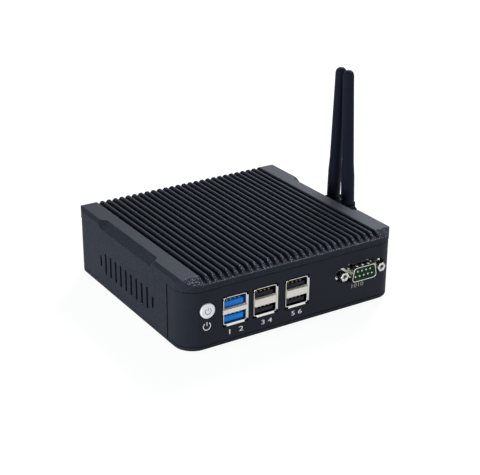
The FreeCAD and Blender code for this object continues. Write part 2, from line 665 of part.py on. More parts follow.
def scoop(body, side):
    """Mitred finger scoop in one top side edge, as a ruled cut through four sections."""
    corner = "%s * %s" % (side, COVER_HALF_X)
    inner = "%s * (%s - scoop_run)" % (side, COVER_HALF_X)
    tip = "%s * (%s - scoop_tip)" % (side, COVER_HALF_X)
    stations = (
        ("scoop_centre - scoop_length / 2 - scoop_flare", True),
        ("scoop_centre - scoop_length / 2", False),
        ("scoop_centre + scoop_length / 2", False),
        ("scoop_centre + scoop_length / 2 + scoop_flare", True),
    )
    sections = []
    for station, pointed in stations:
        sketch = new_sketch(body, "Y", station)
        across, drop = (tip, "scoop_tip") if pointed else (inner, "scoop_drop")
        polygon(sketch, (across, "case_height"), (corner, "case_height - " + drop), (corner, "case_height"))
        sections.append(sketch)
    feature = body.newObject("PartDesign::SubtractiveLoft", "scoop")
    feature.Profile = sections[0]
    feature.Sections = sections[1:]
    feature.Ruled = True


def sloped_edge(half, run, drop, sign):
    """Profile that takes a slope off the top of one side or end."""
    return (
        polygon,
        ("%s * (%s - %s)" % (sign, half, run), "case_height"),
        ("%s * %s" % (sign, half), "case_height - " + drop),
        ("%s * (%s + 1)" % (sign, half), "case_height - " + drop),
        ("%s * (%s + 1)" % (sign, half), "case_height + 1"),
        ("%s * (%s - %s)" % (sign, half, run), "case_height + 1"),
    )


def heatsink_cover():
    """Die-cast cover: fins, bevels, scoops, vented side walls, posts, bosses and pedestal."""
    body = new_body("heatsink_cover")
    block = pad(
        body, "Z", COVER_EDGE, "case_height",
        (box, "-" + COVER_HALF_X, COVER_HALF_X, "-" + COVER_HALF_Y, COVER_HALF_Y),
    )
    fillet(body, block, "corner_radius + cover_proud", lambda middle, edge: is_upright(edge))
    bevels = cut(
        body, "X", "-%s - 1" % COVER_HALF_X, "%s + 1" % COVER_HALF_X,
        sloped_edge(COVER_HALF_Y, "front_bevel_run", "front_bevel_drop", "-1"),
        sloped_edge(COVER_HALF_Y, "rear_bevel_run", "rear_bevel_drop", "1"),
    )
    fillet(
        body, bevels, "crease_radius",
        lambda middle, edge: abs(middle.x) < EPS and abs(middle.z - size("case_height")) < EPS,
    )
    cut(
        body, "Z", COVER_EDGE, ROOF_UNDERSIDE,
        (box, "-" + WALL_INSIDE, WALL_INSIDE, FRONT_INSIDE, REAR_INSIDE),
    )
    wall_front = FRONT_FACE + " + front_return + front_seam"
    wall_back = REAR_FACE + " - rear_return - rear_seam"
    into_roof = ROOF_UNDERSIDE + " + root_overlap"
    pad(
        body, "Z", WALL_FOOT, into_roof,
        (box, WALL_INSIDE, COVER_HALF_X, wall_front, wall_back),
        (box, "-" + COVER_HALF_X, "-" + WALL_INSIDE, wall_front, wall_back),
    )
    posts = (POST_X, "post_spacing / 2")
    bosses = (BOSS_X, "boss_depth_spacing / 2")
    pad(body, "Z", "base_thickness", into_roof, *mirrored_circles(*posts, "post_radius"))
    pad(body, "Z", BOARD_TOP, into_roof, *mirrored_circles(*bosses, "boss_radius"))
    pad(
        body, "Z", DIE_TOP + " + thermal_pad_thickness", into_roof,
        (centred, "0", "processor_centre_y", "pedestal_size", "pedestal_size"),
    )
    cut(
        body, "Z", "base_thickness - 1", "base_thickness + tapped_depth",
        *mirrored_circles(*posts, "tapped_radius"),
    )
    cut(
        body, "Z", BOARD_TOP + " - 1", BOARD_TOP + " + tapped_depth",
        *mirrored_circles(*bosses, "tapped_radius"),
    )
    cut(
        body, "Y", "-%s - 1" % COVER_HALF_Y, "%s + 1" % COVER_HALF_Y,
        sloped_edge(COVER_HALF_X, "edge_chamfer", "edge_chamfer", "-1"),
        sloped_edge(COVER_HALF_X, "edge_chamfer", "edge_chamfer", "1"),
    )
    for side in SIDES:
        scoop(body, side)
    groove = cut(
        body, "Y", "-%s - 1" % COVER_HALF_Y, "%s + 1" % COVER_HALF_Y,
        (flute, "-groove_pitch * (groove_count - 1) / 2", "case_height - groove_depth", "case_height",
         "groove_width / 2", "crown_radius"),
    )
    repeat(body, groove, "X", "groove_pitch", "groove_count")
    side_vents(body)
    cut(
        body, "X", WALL_INSIDE + " - 1", COVER_HALF_X + " + 1",
        *[(circle, spot, "aerial_z", "jack_thread_radius + jack_clearance") for spot in AERIAL_Y.values()],
    )


def side_vents(body):
    """Vent slots in walls thinned round them: a full row on the left, and on the right a gap
    for the aerials."""
    left = ("-%s - 1" % COVER_HALF_X, "-%s + 1" % WALL_INSIDE)
    right = (WALL_INSIDE + " - 1", COVER_HALF_X + " + 1")
    low, high = "vent_middle - vent_height / 2", "vent_middle + vent_height / 2"
    short_low = "vent_middle - short_vent_height / 2"
    short_high = "vent_middle + short_vent_height / 2"
    rim = "vent_width / 2 + vent_margin"
    row_end = "(vent_pitch * vent_half_count + %s)" % rim
    web = "(%s - vent_web)" % COVER_HALF_X
    relief = ("vent_middle - vent_height / 2 - vent_margin", "vent_middle + vent_height / 2 + vent_margin")
    cut(body, "X", "-" + web, "-%s + 1" % WALL_INSIDE, (box, "-" + row_end, row_end, *relief))
    cut(
        body, "X", WALL_INSIDE + " - 1", web,
        (box, "-" + row_end, "-vent_pitch + " + rim, *relief),
        (box, "vent_pitch * (vent_half_count - 1) - (%s)" % rim, row_end, *relief),
    )
    for near, far in (left, right):
        cut(
            body, "X", near, far,
            (slot, "-vent_pitch * vent_half_count", short_low, short_high, "vent_width / 2"),
            (slot, "vent_pitch * vent_half_count", short_low, short_high, "vent_width / 2"),
        )
    first = "-vent_pitch * (vent_half_count - 1)"
    full = cut(body, "X", *left, (slot, first, low, high, "vent_width / 2"))
    repeat(body, full, "Y", "vent_pitch", "2 * vent_half_count - 1")
    cut(
        body, "X", *right,
        (slot, "vent_pitch * (vent_half_count - 1)", low, high, "vent_width / 2"),
    )
    fore = cut(body, "X", *right, (slot, first, low, high, "vent_width / 2"))
    repeat(body, fore, "Y", "vent_pitch", "vent_half_count - 1")


def end_panel(label, end, wrap):
    """One end panel: a face with two rounded corners, its returns and two screw tabs."""
    body = new_body(label)
    face = "%s * case_depth / 2" % end
    inside = "%s * (case_depth / 2 - panel_thickness)" % end
    rim = "%s * (case_depth / 2 - %s)" % (end, wrap)
    past = "%s * (case_depth / 2 - %s - 1)" % (end, wrap)
    pad(
        body, "Z", WALL_FOOT, "parting_height",
        (box, "-case_width / 2", "case_width / 2", face, rim),
    )
    hollow = cut(
        body, "Z", WALL_FOOT + " - 1", "parting_height + 1",
        (box, "-(case_width / 2 - panel_thickness)", "case_width / 2 - panel_thickness", inside, past),
    )
    # the inner corners are rounded first: a square one would reach through the rounded outside
    rounded = fillet(
        body, hollow, "corner_radius - panel_thickness",
        lambda middle, edge: is_upright(edge) and abs(middle.y - size(inside)) < EPS,
    )
    fillet(
        body, rounded, "corner_radius",
        lambda middle, edge: is_upright(edge) and abs(middle.y - size(face)) < EPS,
    )
    tab_middle = "%s * (%s + root_overlap / 2)" % (end, TAB_Y)
    tabs = []
    holes = []
    for side in SIDES:
        across = "%s * tab_spacing / 2" % side
        tabs.append((centred, across, tab_middle, "tab_width", "tab_depth + root_overlap"))
        holes.append((circle, across, "%s * %s" % (end, TAB_Y), "tapped_radius"))
    pad(body, "Z", "base_thickness", "base_thickness + tab_height", *tabs)
    cut(body, "Z", "base_thickness - 1", "base_thickness + tapped_depth", *holes)
    return body


def d_outline(sketch, across, up, margin):
    """Outline of a D-shaped nose with its wide side down, grown by a margin."""
    wide = "(sleeve_half_wide + (%s))" % margin
    narrow = "(sleeve_half_narrow + (%s))" % margin
    half = "(sleeve_half_height + (%s))" % margin
    polygon(
        sketch,
        ("%s - %s" % (across, wide), "%s - %s" % (up, half)),
        ("%s + %s" % (across, wide), "%s - %s" % (up, half)),
        ("%s + %s" % (across, narrow), "%s + %s" % (up, half)),
        ("%s - %s" % (across, narrow), "%s + %s" % (up, half)),
    )


def lock_circles(across, up, radius):
    """Two circles at the jack screws of a D-shaped socket."""
    return [
        (circle, "%s + %s * lock_spacing / 2" % (across, side), up, radius)
        for side in SIDES
    ]


def front_panel():
    """Front panel with the button's hole, three port windows and the serial window."""
    body = end_panel("front_panel", "-1", "front_return")
    near, far = FRONT_FACE + " - 1", FRONT_INSIDE + " + 1"
    for port in PORT_X:
        cut(
            body, "Y", near, far,
            (centred, port, PORT_LOW + " + port_height / 2",
             "port_width + 2 * flap_reach + 2 * port_cutout_gap",
             "port_height + 2 * flap_reach + 2 * port_cutout_gap"),
        )
    cut(body, "Y", near, far, (circle, BUTTON_X, "button_z", "button_radius + button_clearance"))
    cut(body, "Y", near, far, (d_outline, SERIAL_X, "serial_z", "sleeve_clearance"))
    cut(body, "Y", near, far, *lock_circles(SERIAL_X, "serial_z", "lock_clearance_radius"))


def rear_panel():
    """Rear panel with a window for each rear socket."""
    body = end_panel("rear_panel", "1", "rear_return")
    near, far = REAR_INSIDE + " - 1", REAR_FACE + " + 1"
    windows = [
        (centred, POWER_INLET_X, "board_underside - power_inlet_height / 2",
         "power_inlet_width + 2 * rear_clearance", "power_inlet_height + 2 * rear_clearance"),
        (centred, VIDEO_X, "board_underside - video_height / 2",
         "2 * video_half_width + 2 * rear_clearance", "video_height + 2 * rear_clearance"),
        *[(circle, across, AUDIO_Z, "audio_radius + rear_clearance") for across in AUDIO_X],
        *[(centred, across, "board_underside - network_height / 2",
           "network_width + 2 * rear_clearance", "network_height + 2 * rear_clearance")
          for across in NETWORK_X],
    ]
    # each window is a cut of its own, so that neighbours may touch
    for window in windows:
        cut(body, "Y", near, far, window)
    cut(body, "Y", near, far, (d_outline, DISPLAY_X, "serial_z", "sleeve_clearance"))
    cut(body, "Y", near, far, *lock_circles(DISPLAY_X, "serial_z", "lock_clearance_radius"))


def base_plate():
    """Base plate with countersunk screw holes and four tapped bracket bosses."""
    body = new_body("base_plate")
    plate = pad(
        body, "Z", "0", "base_thickness",
        (centred, "0", "0", "case_width", "case_depth"),
    )
    rounded = fillet(body, plate, "corner_radius", lambda middle, edge: is_upright(edge))
    chamfer(body, rounded, "base_edge", lambda middle, edge: abs(middle.z) < EPS)
    bracket = ("bracket_spacing / 2", "bracket_spacing / 2")
    pad(
        body, "Z", "base_thickness - root_overlap", "base_thickness + bracket_boss_height",
        *mirrored_circles(*bracket, "bracket_boss_radius"),
    )
    through = "base_thickness + bracket_boss_height + 1"
    cut(body, "Z", "-1", through, *mirrored_circles(*bracket, "bracket_hole_radius"))
    passage = "screw_radius + screw_passage"
    cut(
        body, "Z", "-1", "base_thickness + 1",
        *mirrored_circles(POST_X, "post_spacing / 2", passage),
        *mirrored_circles("tab_spacing / 2", TAB_Y, passage),
    )
    cut(
        body, "Z", "-1", "countersink_depth",
        *mirrored_circles(POST_X, "post_spacing / 2", "screw_head_radius + screw_passage"),
        *mirrored_circles("tab_spacing / 2", TAB_Y, "screw_head_radius + screw_passage"),
    )


def rubber_feet():
    """Four round feet with a broken lower edge, as one group."""
    body = new_body("rubber_feet")
    feet = pad(
        body, "Z", "-foot_height", "0",
        *mirrored_circles("case_width / 2 - foot_inset", "case_depth / 2 - foot_inset", "foot_radius"),
    )
    chamfer(body, feet, "foot_edge", lambda middle, edge: abs(middle.z + size("foot_height")) < EPS)


def base_screws():
    """Eight flat-headed screws up through the base plate, as one group."""
    body = new_body("base_screws")
    spots = (
        *mirrored_circles(POST_X, "post_spacing / 2", "screw_radius"),
        *mirrored_circles("tab_spacing / 2", TAB_Y, "screw_radius"),
    )
    heads = (
        *mirrored_circles(POST_X, "post_spacing / 2", "screw_head_radius"),
        *mirrored_circles("tab_spacing / 2", TAB_Y, "screw_head_radius"),
    )
    drives = [(hexagon, across, up, "drive_radius") for shape, across, up, radius in spots]
    pad(body, "Z", "screw_sunk", "countersink_depth", *heads)
    pad(body, "Z", "screw_sunk", "screw_length", *spots)
    cut(body, "Z", "-1", "screw_sunk + drive_depth", *drives)


# ---- board and cards ------------------------------------------------------------------


def motherboard():
    """Board with rounded corners and four screw holes."""
    body = new_body("motherboard")
    sheet_stock = pad(
        body, "Z", "board_underside", BOARD_TOP,
        (box, "-" + BOARD_HALF_X, BOARD_HALF_X, BOARD_FRONT, BOARD_REAR),
    )
    fillet(body, sheet_stock, "board_corner", lambda middle, edge: is_upright(edge))
    cut(
        body, "Z", "board_underside - 1", BOARD_TOP + " + 1",
        *mirrored_circles(BOSS_X, "boss_depth_spacing / 2", "screw_radius + screw_passage"),
    )


def board_screws():
    """Four pan-headed screws up into the cover's bosses, as one group."""
    body = new_body("board_screws")
    spots = mirrored_circles(BOSS_X, "boss_depth_spacing / 2", "screw_radius")
    heads = mirrored_circles(BOSS_X, "boss_depth_spacing / 2", "screw_head_radius")
    drives = [(hexagon, across, up, "drive_radius") for shape, across, up, radius in spots]
    pad(body, "Z", "board_underside - pan_head_height", "board_underside", *heads)
    pad(body, "Z", "board_underside - pan_head_height", "board_underside + screw_length", *spots)
    cut(
        body, "Z", "board_underside - pan_head_height - 1",
        "board_underside - pan_head_height + drive_depth", *drives,
    )


def processor():
    """Processor carrier with its bare die, on the board's upper face."""
    body = new_body("processor")
    pad(
        body, "Z", BOARD_TOP, BOARD_TOP + " + processor_thickness",
        (centred, "0", "processor_centre_y", "processor_width", "processor_depth"),
    )
    pad(
        body, "Z", BOARD_TOP, DIE_TOP,
        (centred, "0", "processor_centre_y", "die_width", "die_depth"),
    )
    pad_body = new_body("thermal_pad")
    pad(
        pad_body, "Z", DIE_TOP, DIE_TOP + " + thermal_pad_thickness",
        (centred, "0", "processor_centre_y", "die_width + 2 * thermal_pad_margin",
         "die_depth + 2 * thermal_pad_margin"),
    )


def memory():
    """Memory module and its latching socket, under the board."""
    edge = "(memory_back_y - memory_depth)"
    half = "(memory_width / 2 + socket_slot_clearance)"
    body = new_body("memory_socket")
    front, back = edge + " + socket_grip - socket_depth", edge + " + socket_grip"
    pad(
        body, "Z", SOCKET_LOW, "board_underside",
        (box, "memory_centre_x - %s - latch_width" % half, "memory_centre_x + %s + latch_width" % half,
         front, back),
    )
    for side in SIDES:
        pad(
            body, "Z", SOCKET_LOW, "board_underside",
            (box, "memory_centre_x + %s * %s" % (side, half),
             "memory_centre_x + %s * (%s + latch_width)" % (side, half),
             back + " - root_overlap", back + " + latch_length"),
        )
    cut(
        body, "Z", *CARD_SLOT,
        (box, "memory_centre_x - " + half, "memory_centre_x + " + half,
         edge + " - socket_slot_clearance", back + " + 1"),
    )
    module = new_body("memory_module")
    pad(
        module, "Z", CARD_LOW, CARD_TOP,
        (centred, "memory_centre_x", "memory_back_y - memory_depth / 2", "memory_width", "memory_depth"),
    )
    chip = pad(
        module, "Z", CARD_LOW + " - chip_thickness", CARD_LOW,
        (centred, "memory_centre_x - memory_width * 3 / 8", "memory_back_y - memory_depth / 2",
         "memory_chip_width", "memory_chip_depth"),
    )
    repeat(module, chip, "X", "memory_width / 4", "4")


def slot_in_card(name, free, length):
    """A small card lying along X, its socket, and the chips on its lower face."""
    half = "card_width / 2"
    edge = "(%s - %s)" % (free, length)
    body = new_body(name + "_socket")
    pad(
        body, "Z", SOCKET_LOW, "board_underside",
        (box, edge + " + socket_grip - socket_depth", edge + " + socket_grip",
         "card_centre_y - %s - socket_width_margin" % half,
         "card_centre_y + %s + socket_width_margin" % half),
    )
    cut(
        body, "Z", *CARD_SLOT,
        (box, edge + " - socket_slot_clearance", edge + " + socket_grip + 1",
         "card_centre_y - %s - socket_slot_clearance" % half,
         "card_centre_y + %s + socket_slot_clearance" % half),
    )
    card = new_body(name + "_card")
    pad(
        card, "Z", CARD_LOW, CARD_TOP,
        (box, edge, free, "card_centre_y - " + half, "card_centre_y + " + half),
    )
    pad(
        card, "Z", CARD_LOW + " - chip_thickness", CARD_LOW,
        (box, edge + " + card_chip_inset", free + " - card_chip_inset",
         "card_centre_y - card_chip_width / 2", "card_centre_y + card_chip_width / 2"),
    )


def card_fixings():
    """Standoffs between the board and the cards, and the screws under them."""
    spots = []
    for free in ("storage_free_x", "wireless_free_x"):
        for side in SIDES:
            spots.append((
                "%s - standoff_inset" % free,
                "card_centre_y + %s * (card_width / 2 - standoff_inset)" % side,
            ))
    standoffs = new_body("card_standoffs")
    pad(
        standoffs, "Z", CARD_TOP, "board_underside",
        *[(circle, across, up, "standoff_radius") for across, up in spots],
    )
    screws = new_body("card_screws")
    pad(
        screws, "Z", CARD_LOW + " - card_screw_height", CARD_LOW,
        *[(circle, across, up, "card_screw_radius") for across, up in spots],
    )
    cut(
        screws, "Z", CARD_LOW + " - card_screw_height - 1", CARD_LOW + " - card_screw_height / 2",
        *[(hexagon, across, up, "card_drive_radius") for across, up in spots],
    )


def clock_cell():
    """Coin cell in its open holder, under the board and beside the memory socket."""
    rim = "cell_radius + holder_clearance + holder_wall"
    latch_end = "memory_centre_x + memory_width / 2 + socket_slot_clearance + latch_width"
    spot = ("(%s + cell_gap + %s)" % (latch_end, rim), "cell_centre_y")
    seat = "board_underside - holder_floor"
    cell_low = seat + " - cell_thickness"
    low = cell_low + " + cell_showing"
    holder = new_body("cell_holder")
    pad(holder, "Z", low, "board_underside", (circle, *spot, rim))
    cut(holder, "Z", low + " - 1", seat, (circle, *spot, "cell_radius + holder_clearance"))
    cell = new_body("coin_cell")
    disc = pad(cell, "Z", cell_low, seat, (circle, *spot, "cell_radius"))
    chamfer(
        cell, disc, "cell_edge",
        lambda middle, edge: abs(middle.z - size(cell_low)) < EPS,
    )


# ---- front sockets --------------------------------------------------------------------


def stacked_port(number, across, divider, tongue, split):
    """One stack of two data ports: shell with flared flaps, bar, insulator and contacts."""
    name = "usb_stack_%d_" % number
    middle = PORT_LOW + " + port_height / 2"
    shell = new_body(name + "shell")
    pad(shell, "Y", SHELL_FRONT, SHELL_BACK, (centred, across, middle, "port_width", "port_height"))
    cut(
        shell, "Y", SHELL_FRONT + " - 1", SHELL_BACK + " + 1",
        (centred, across, middle, "port_width - 2 * port_wall", "port_height - 2 * port_wall"),
    )
    flaps(shell, across, middle, divider, split)

    bar = new_body(name + "divider")
    pad(
        bar, "Y", PORT_MOUTH, PORT_MOUTH + " + divider_depth",
        (centred, across, middle, "port_width - 2 * port_wall", divider),
    )
    if split:
        pad(
            bar, "Y", PORT_MOUTH, PORT_MOUTH + " + flap_reach",
            (centred, across, middle, "port_width + 2 * flap_reach", divider),
        )

    insulator = new_body(name + "insulator")
    back = SHELL_BACK + " - port_back_wall"
    pad(
        insulator, "Y", back, SHELL_BACK,
        (centred, across, middle, "port_width - 2 * port_wall", "port_height - 2 * port_wall"),
    )
    lows = (
        PORT_LOW + " + port_wall + tongue_gap",
        "%s + (%s) / 2 + tongue_gap" % (middle, divider),
    )
    pad(
        insulator, "Y", PORT_MOUTH + " + tongue_recess", back + " + root_overlap",
        *[(box, "%s - tongue_width / 2" % across, "%s + tongue_width / 2" % across, low,
           "%s + %s" % (low, tongue)) for low in lows],
    )
    pad(
        insulator, "Y", PORT_MOUTH + " + divider_depth", back + " + root_overlap",
        (box, "%s - port_width / 2 + port_wall" % across, "%s + port_width / 2 - port_wall" % across,
         "%s - %s / 2" % (middle, divider), "%s + %s / 2" % (middle, divider)),
    )

    contacts = new_body(name + "contacts")
    start = "%s + tongue_recess + contact_setback" % PORT_MOUTH
    for low in lows:
        row = pad(
            contacts, "Y", start, back,
            (box, "%s - 1.5 * contact_pitch - contact_width / 2" % across,
             "%s - 1.5 * contact_pitch + contact_width / 2" % across,
             "%s + %s" % (low, tongue), "%s + %s + contact_height" % (low, tongue)),
        )
        repeat(contacts, row, "X", "contact_pitch", "4")


def flaps(shell, across, middle, divider, split):
    """Flared spring flaps round a port shell's mouth."""
    for side in SIDES:
        edge = "%s + %s * port_height / 2" % (middle, side)
        pad(
            shell, "X", "%s - flap_width / 2" % across, "%s + flap_width / 2" % across,
            (polygon,
             (SHELL_FRONT, edge),
             (PORT_MOUTH, "%s + %s * flap_reach" % (edge, side)),
             (PORT_MOUTH, "%s + %s * (flap_reach - port_wall)" % (edge, side)),
             (SHELL_FRONT, "%s - %s * port_wall" % (edge, side))),
        )
        wall = "%s + %s * port_width / 2" % (across, side)
        if split:
            spans = (
                (middle + " - flap_height / 2", "%s - (%s) / 2" % (middle, divider)),
                ("%s + (%s) / 2" % (middle, divider), middle + " + flap_height / 2"),
            )
        else:
            spans = ((middle + " - flap_height / 2", middle + " + flap_height / 2"),)
        for low, high in spans:
            pad(
                shell, "Z", low, high,
                (polygon,
                 (wall, SHELL_FRONT),
                 ("%s + %s * flap_reach" % (wall, side), PORT_MOUTH),
                 ("%s + %s * (flap_reach - port_wall)" % (wall, side), PORT_MOUTH),
                 ("%s - %s * port_wall" % (wall, side), SHELL_FRONT)),
            )


def outwards(end, inner, outer):
    """Low and high stations of a piece from an inner to an outer distance towards one end."""
    if end == "-1":
        return "-(%s)" % outer, "-(%s)" % inner
    return inner, outer


PANEL_BACK = "case_depth / 2 - panel_thickness"
FLANGE_FACE = "case_depth / 2 - panel_thickness - flange_gap"
FLANGE_BACK = "case_depth / 2 - panel_thickness - flange_gap - flange_thickness"
NOSE_RIM = "case_depth / 2 - panel_thickness + sleeve_reach"


def d_socket(name, across, end):
    """Shell of a D-shaped socket, wide side down: a flange and a nose drawn through the panel."""
    shell = new_body(name + "_shell")
    through = outwards(end, FLANGE_BACK + " - 1", NOSE_RIM + " + 1")
    pad(
        shell, "Y", *outwards(end, FLANGE_BACK, FLANGE_FACE),
        (centred, across, "serial_z", "flange_width", "flange_height"),
    )
    pad(
        shell, "Y", *outwards(end, FLANGE_FACE + " - flange_thickness / 2", NOSE_RIM),
        (d_outline, across, "serial_z", "0"),
    )
    hollow = cut(shell, "Y", *through, (d_outline, across, "serial_z", "-sleeve_wall"))
    # the inner corners are rounded first: a square one would reach through the rounded outside
    rounded = fillet(
        shell, hollow, "sleeve_corner - sleeve_wall",
        lambda middle, edge: is_lengthways(edge, "serial_z", "sleeve_half_height - sleeve_wall"),
    )
    fillet(
        shell, rounded, "sleeve_corner",
        lambda middle, edge: is_lengthways(edge, "serial_z", "sleeve_half_height"),
    )
    cut(shell, "Y", *through, *lock_circles(across, "serial_z", "lock_thread_radius + screw_passage"))
    locks = new_body(name + "_screwlocks")
    low, high = outwards(end, FLANGE_FACE, PANEL_BACK + " + lock_length")
    pad(
        locks, "Y", low, high,
        *[(hexagon, "%s + %s * lock_spacing / 2" % (across, side), "serial_z", "lock_hex_radius")
          for side in SIDES],
    )
    cut(locks, "Y", low + " - 1", high + " + 1", *lock_circles(across, "serial_z", "lock_thread_radius"))


def d_insulator(name, across, end, face):
    """Insulator that fills a D-shaped nose up to its face, and its body behind the flange."""
    insulator = new_body(name + "_insulator")
    blank = pad(
        insulator, "Y", *outwards(end, FLANGE_BACK, face),
        (d_outline, across, "serial_z", "-sleeve_wall - sleeve_fit"),
    )
    fillet(
        insulator, blank, "sleeve_corner - sleeve_wall",
        lambda middle, edge: is_lengthways(
            edge, "serial_z", "sleeve_half_height - sleeve_wall - sleeve_fit"
        ),
    )
    pad(
        insulator, "Y", *outwards(end, FLANGE_BACK + " - socket_body_depth", FLANGE_BACK),
        (box, across + " - sleeve_half_wide", across + " + sleeve_half_wide",
         "serial_z - sleeve_half_height", "board_underside"),
    )
    return insulator


def serial_port():
    """Nine-pin plug: shell, jack screws, insulator and pins; its wide side is down."""
    d_socket("serial", SERIAL_X, "-1")
    face = NOSE_RIM + " - serial_floor"
    d_insulator("serial", SERIAL_X, "-1", face)
    pins = new_body("serial_pins")
    spots = []
    for index in (-2, -1, 0, 1, 2):
        spots.append(("%s + %s * pin_pitch" % (SERIAL_X, index), "serial_z - pin_row_spacing / 2"))
    for index in (-1.5, -0.5, 0.5, 1.5):
        spots.append(("%s + %s * pin_pitch" % (SERIAL_X, index), "serial_z + pin_row_spacing / 2"))
    pad(
        pins, "Y", *outwards("-1", face, face + " + pin_reach"),
        *[(circle, x, z, "pin_radius") for x, z in spots],
    )


def power_button():
    """Push button cap with its collar, the switch plunger and the switch housing."""
    spot = (BUTTON_X, "button_z")
    cap = new_body("power_button_cap")
    front = FRONT_FACE + " - button_proud"
    collar = FRONT_INSIDE + " + button_collar_gap"
    collar_end = collar + " + button_collar_thickness"
    stem_end = collar_end + " + stem_length"
    face = pad(cap, "Y", front, collar, (circle, *spot, "button_radius"))
    chamfer(cap, face, "button_edge", lambda middle, edge: abs(middle.y - size(front)) < EPS)
    pad(cap, "Y", collar, collar_end, (circle, *spot, "button_radius + button_collar"))
    plunger = new_body("power_switch_plunger")
    pad(plunger, "Y", collar_end, stem_end, (circle, *spot, "stem_radius"))
    housing = new_body("power_switch_housing")
    start = collar_end + " + button_travel + switch_gap"
    pad(
        housing, "Y", start, start + " + switch_depth",
        (box, BUTTON_X + " - switch_size / 2", BUTTON_X + " + switch_size / 2",
         "button_z - switch_size / 2", "board_underside"),
    )
    cut(
        housing, "Y", start + " - 1", stem_end + " + button_travel + switch_gap",
        (circle, *spot, "stem_radius + switch_clearance"),
    )


# ---- rear sockets ---------------------------------------------------------------------

REAR_MOUTH = "(case_depth / 2 + rear_proud)"


def power_inlet():
    """Barrel power inlet and its pin."""
    housing = new_body("power_inlet_housing")
    middle = "board_underside - power_inlet_height / 2"
    bore_end = REAR_MOUTH + " - power_bore_depth"
    pad(
        housing, "Y", REAR_MOUTH + " - power_inlet_depth", REAR_MOUTH,
        (centred, POWER_INLET_X, middle, "power_inlet_width", "power_inlet_height"),
    )
    cut(housing, "Y", bore_end, REAR_MOUTH + " + 1", (circle, POWER_INLET_X, middle, "power_bore_radius"))
    contact = new_body("power_inlet_pin")
    pad(
        contact, "Y", bore_end, REAR_MOUTH + " - power_pin_setback",
        (circle, POWER_INLET_X, middle, "power_pin_radius"),
    )


def video_outline(sketch, margin):
    """Flat socket outline with two slanted corners, shrunk by a margin."""
    half = "(video_half_width - (%s))" % margin
    low = "(board_underside - video_height + (%s))" % margin
    high = "(board_underside - (%s))" % margin
    polygon(
        sketch,
        (VIDEO_X + " - " + half, low),
        (VIDEO_X + " + " + half, low),
        (VIDEO_X + " + " + half, high + " - video_corner"),
        (VIDEO_X + " + %s - video_corner" % half, high),
        (VIDEO_X + " - %s + video_corner" % half, high),
        (VIDEO_X + " - " + half, high + " - video_corner"),
    )


def video_socket():
    """Flat video socket: folded shell and contact tongue."""
    back = REAR_MOUTH + " - video_depth"
    root = back + " + video_back_wall"
    shell = new_body("video_socket_shell")
    pad(shell, "Y", back, REAR_MOUTH, (video_outline, "0"))
    cut(shell, "Y", root, REAR_MOUTH + " + 1", (video_outline, "video_wall"))
    tongue = new_body("video_socket_tongue")
    pad(
        tongue, "Y", root, REAR_MOUTH + " - video_tongue_setback",
        (centred, VIDEO_X, "board_underside - video_height / 2", "video_tongue_width",
         "video_tongue_thickness"),
    )


def display_socket():
    """Fifteen-hole socket: shell, jack screws and insulator; its wide side is down."""
    d_socket("display", DISPLAY_X, "1")
    face = NOSE_RIM + " - display_setback"
    insulator = d_insulator("display", DISPLAY_X, "1", face)
    for row, shift in ((-1, 0.25), (0, -0.25), (1, 0.25)):
        hole = cut(
            insulator, "Y", face + " - display_hole_depth", face + " + 1",
            (circle, DISPLAY_X + " + (%s) * display_hole_pitch" % (shift - 2),
             "serial_z + (%d) * display_row_spacing" % row, "display_hole_radius"),
        )
        repeat(insulator, hole, "X", "display_hole_pitch", "5")


def network_jacks():
    """Two network sockets with a latch notch, and their contacts."""
    root = REAR_MOUTH + " - network_mouth_depth"
    bottom = "(board_underside - network_height + network_mouth_lift)"
    top = bottom + " + network_mouth_height"
    for number, across in enumerate(NETWORK_X, start=1):
        jack = new_body("network_jack_%d" % number)
        pad(
            jack, "Y", REAR_MOUTH + " - network_depth", REAR_MOUTH,
            (centred, across, "board_underside - network_height / 2", "network_width", "network_height"),
        )
        cut(
            jack, "Y", root, REAR_MOUTH + " + 1",
            (box, "%s - network_mouth_width / 2" % across, "%s + network_mouth_width / 2" % across,
             bottom, top),
        )
        cut(
            jack, "Y", root, REAR_MOUTH + " + 1",
            (box, "%s - network_key_width / 2" % across, "%s + network_key_width / 2" % across,
             bottom + " - network_key_height", top),
        )
    contacts = new_body("network_contacts")
    for across in NETWORK_X:
        row = pad(
            contacts, "Y", root, root + " + network_contact_length",
            (box, "%s - 3.5 * network_contact_pitch - network_contact_width / 2" % across,
             "%s - 3.5 * network_contact_pitch + network_contact_width / 2" % across,
             top + " - network_contact_thickness", top),
        )
        repeat(contacts, row, "X", "network_contact_pitch", "8")


def audio_jacks():
    """Two audio sockets: square bodies with round noses, as one group."""
    body = new_body("audio_jacks")
    bore_end = REAR_MOUTH + " - audio_bore_depth"
    nose_root = REAR_INSIDE + " - audio_body_gap"
    pad(
        body, "Y", bore_end + " - audio_back_wall", nose_root,
        *[(box, "%s - audio_body_size / 2" % across, "%s + audio_body_size / 2" % across,
           "board_underside - audio_body_size", "board_underside") for across in AUDIO_X],
    )
    pad(
        body, "Y", nose_root + " - root_overlap", REAR_MOUTH,
        *[(circle, across, AUDIO_Z, "audio_radius") for across in AUDIO_X],
    )
    cut(
        body, "Y", bore_end, REAR_MOUTH + " + 1",
        *[(circle, across, AUDIO_Z, "audio_bore_radius") for across in AUDIO_X],
    )


# ---- aerials --------------------------------------------------------------------------

NUT_END = "(case_width / 2 + cover_proud + hex_nut_thickness)"
COUPLING_START = "(case_width / 2 + cover_proud + hex_nut_thickness + coupling_gap)"
PIVOT_X = "(case_width / 2 + cover_proud + pivot_reach)"


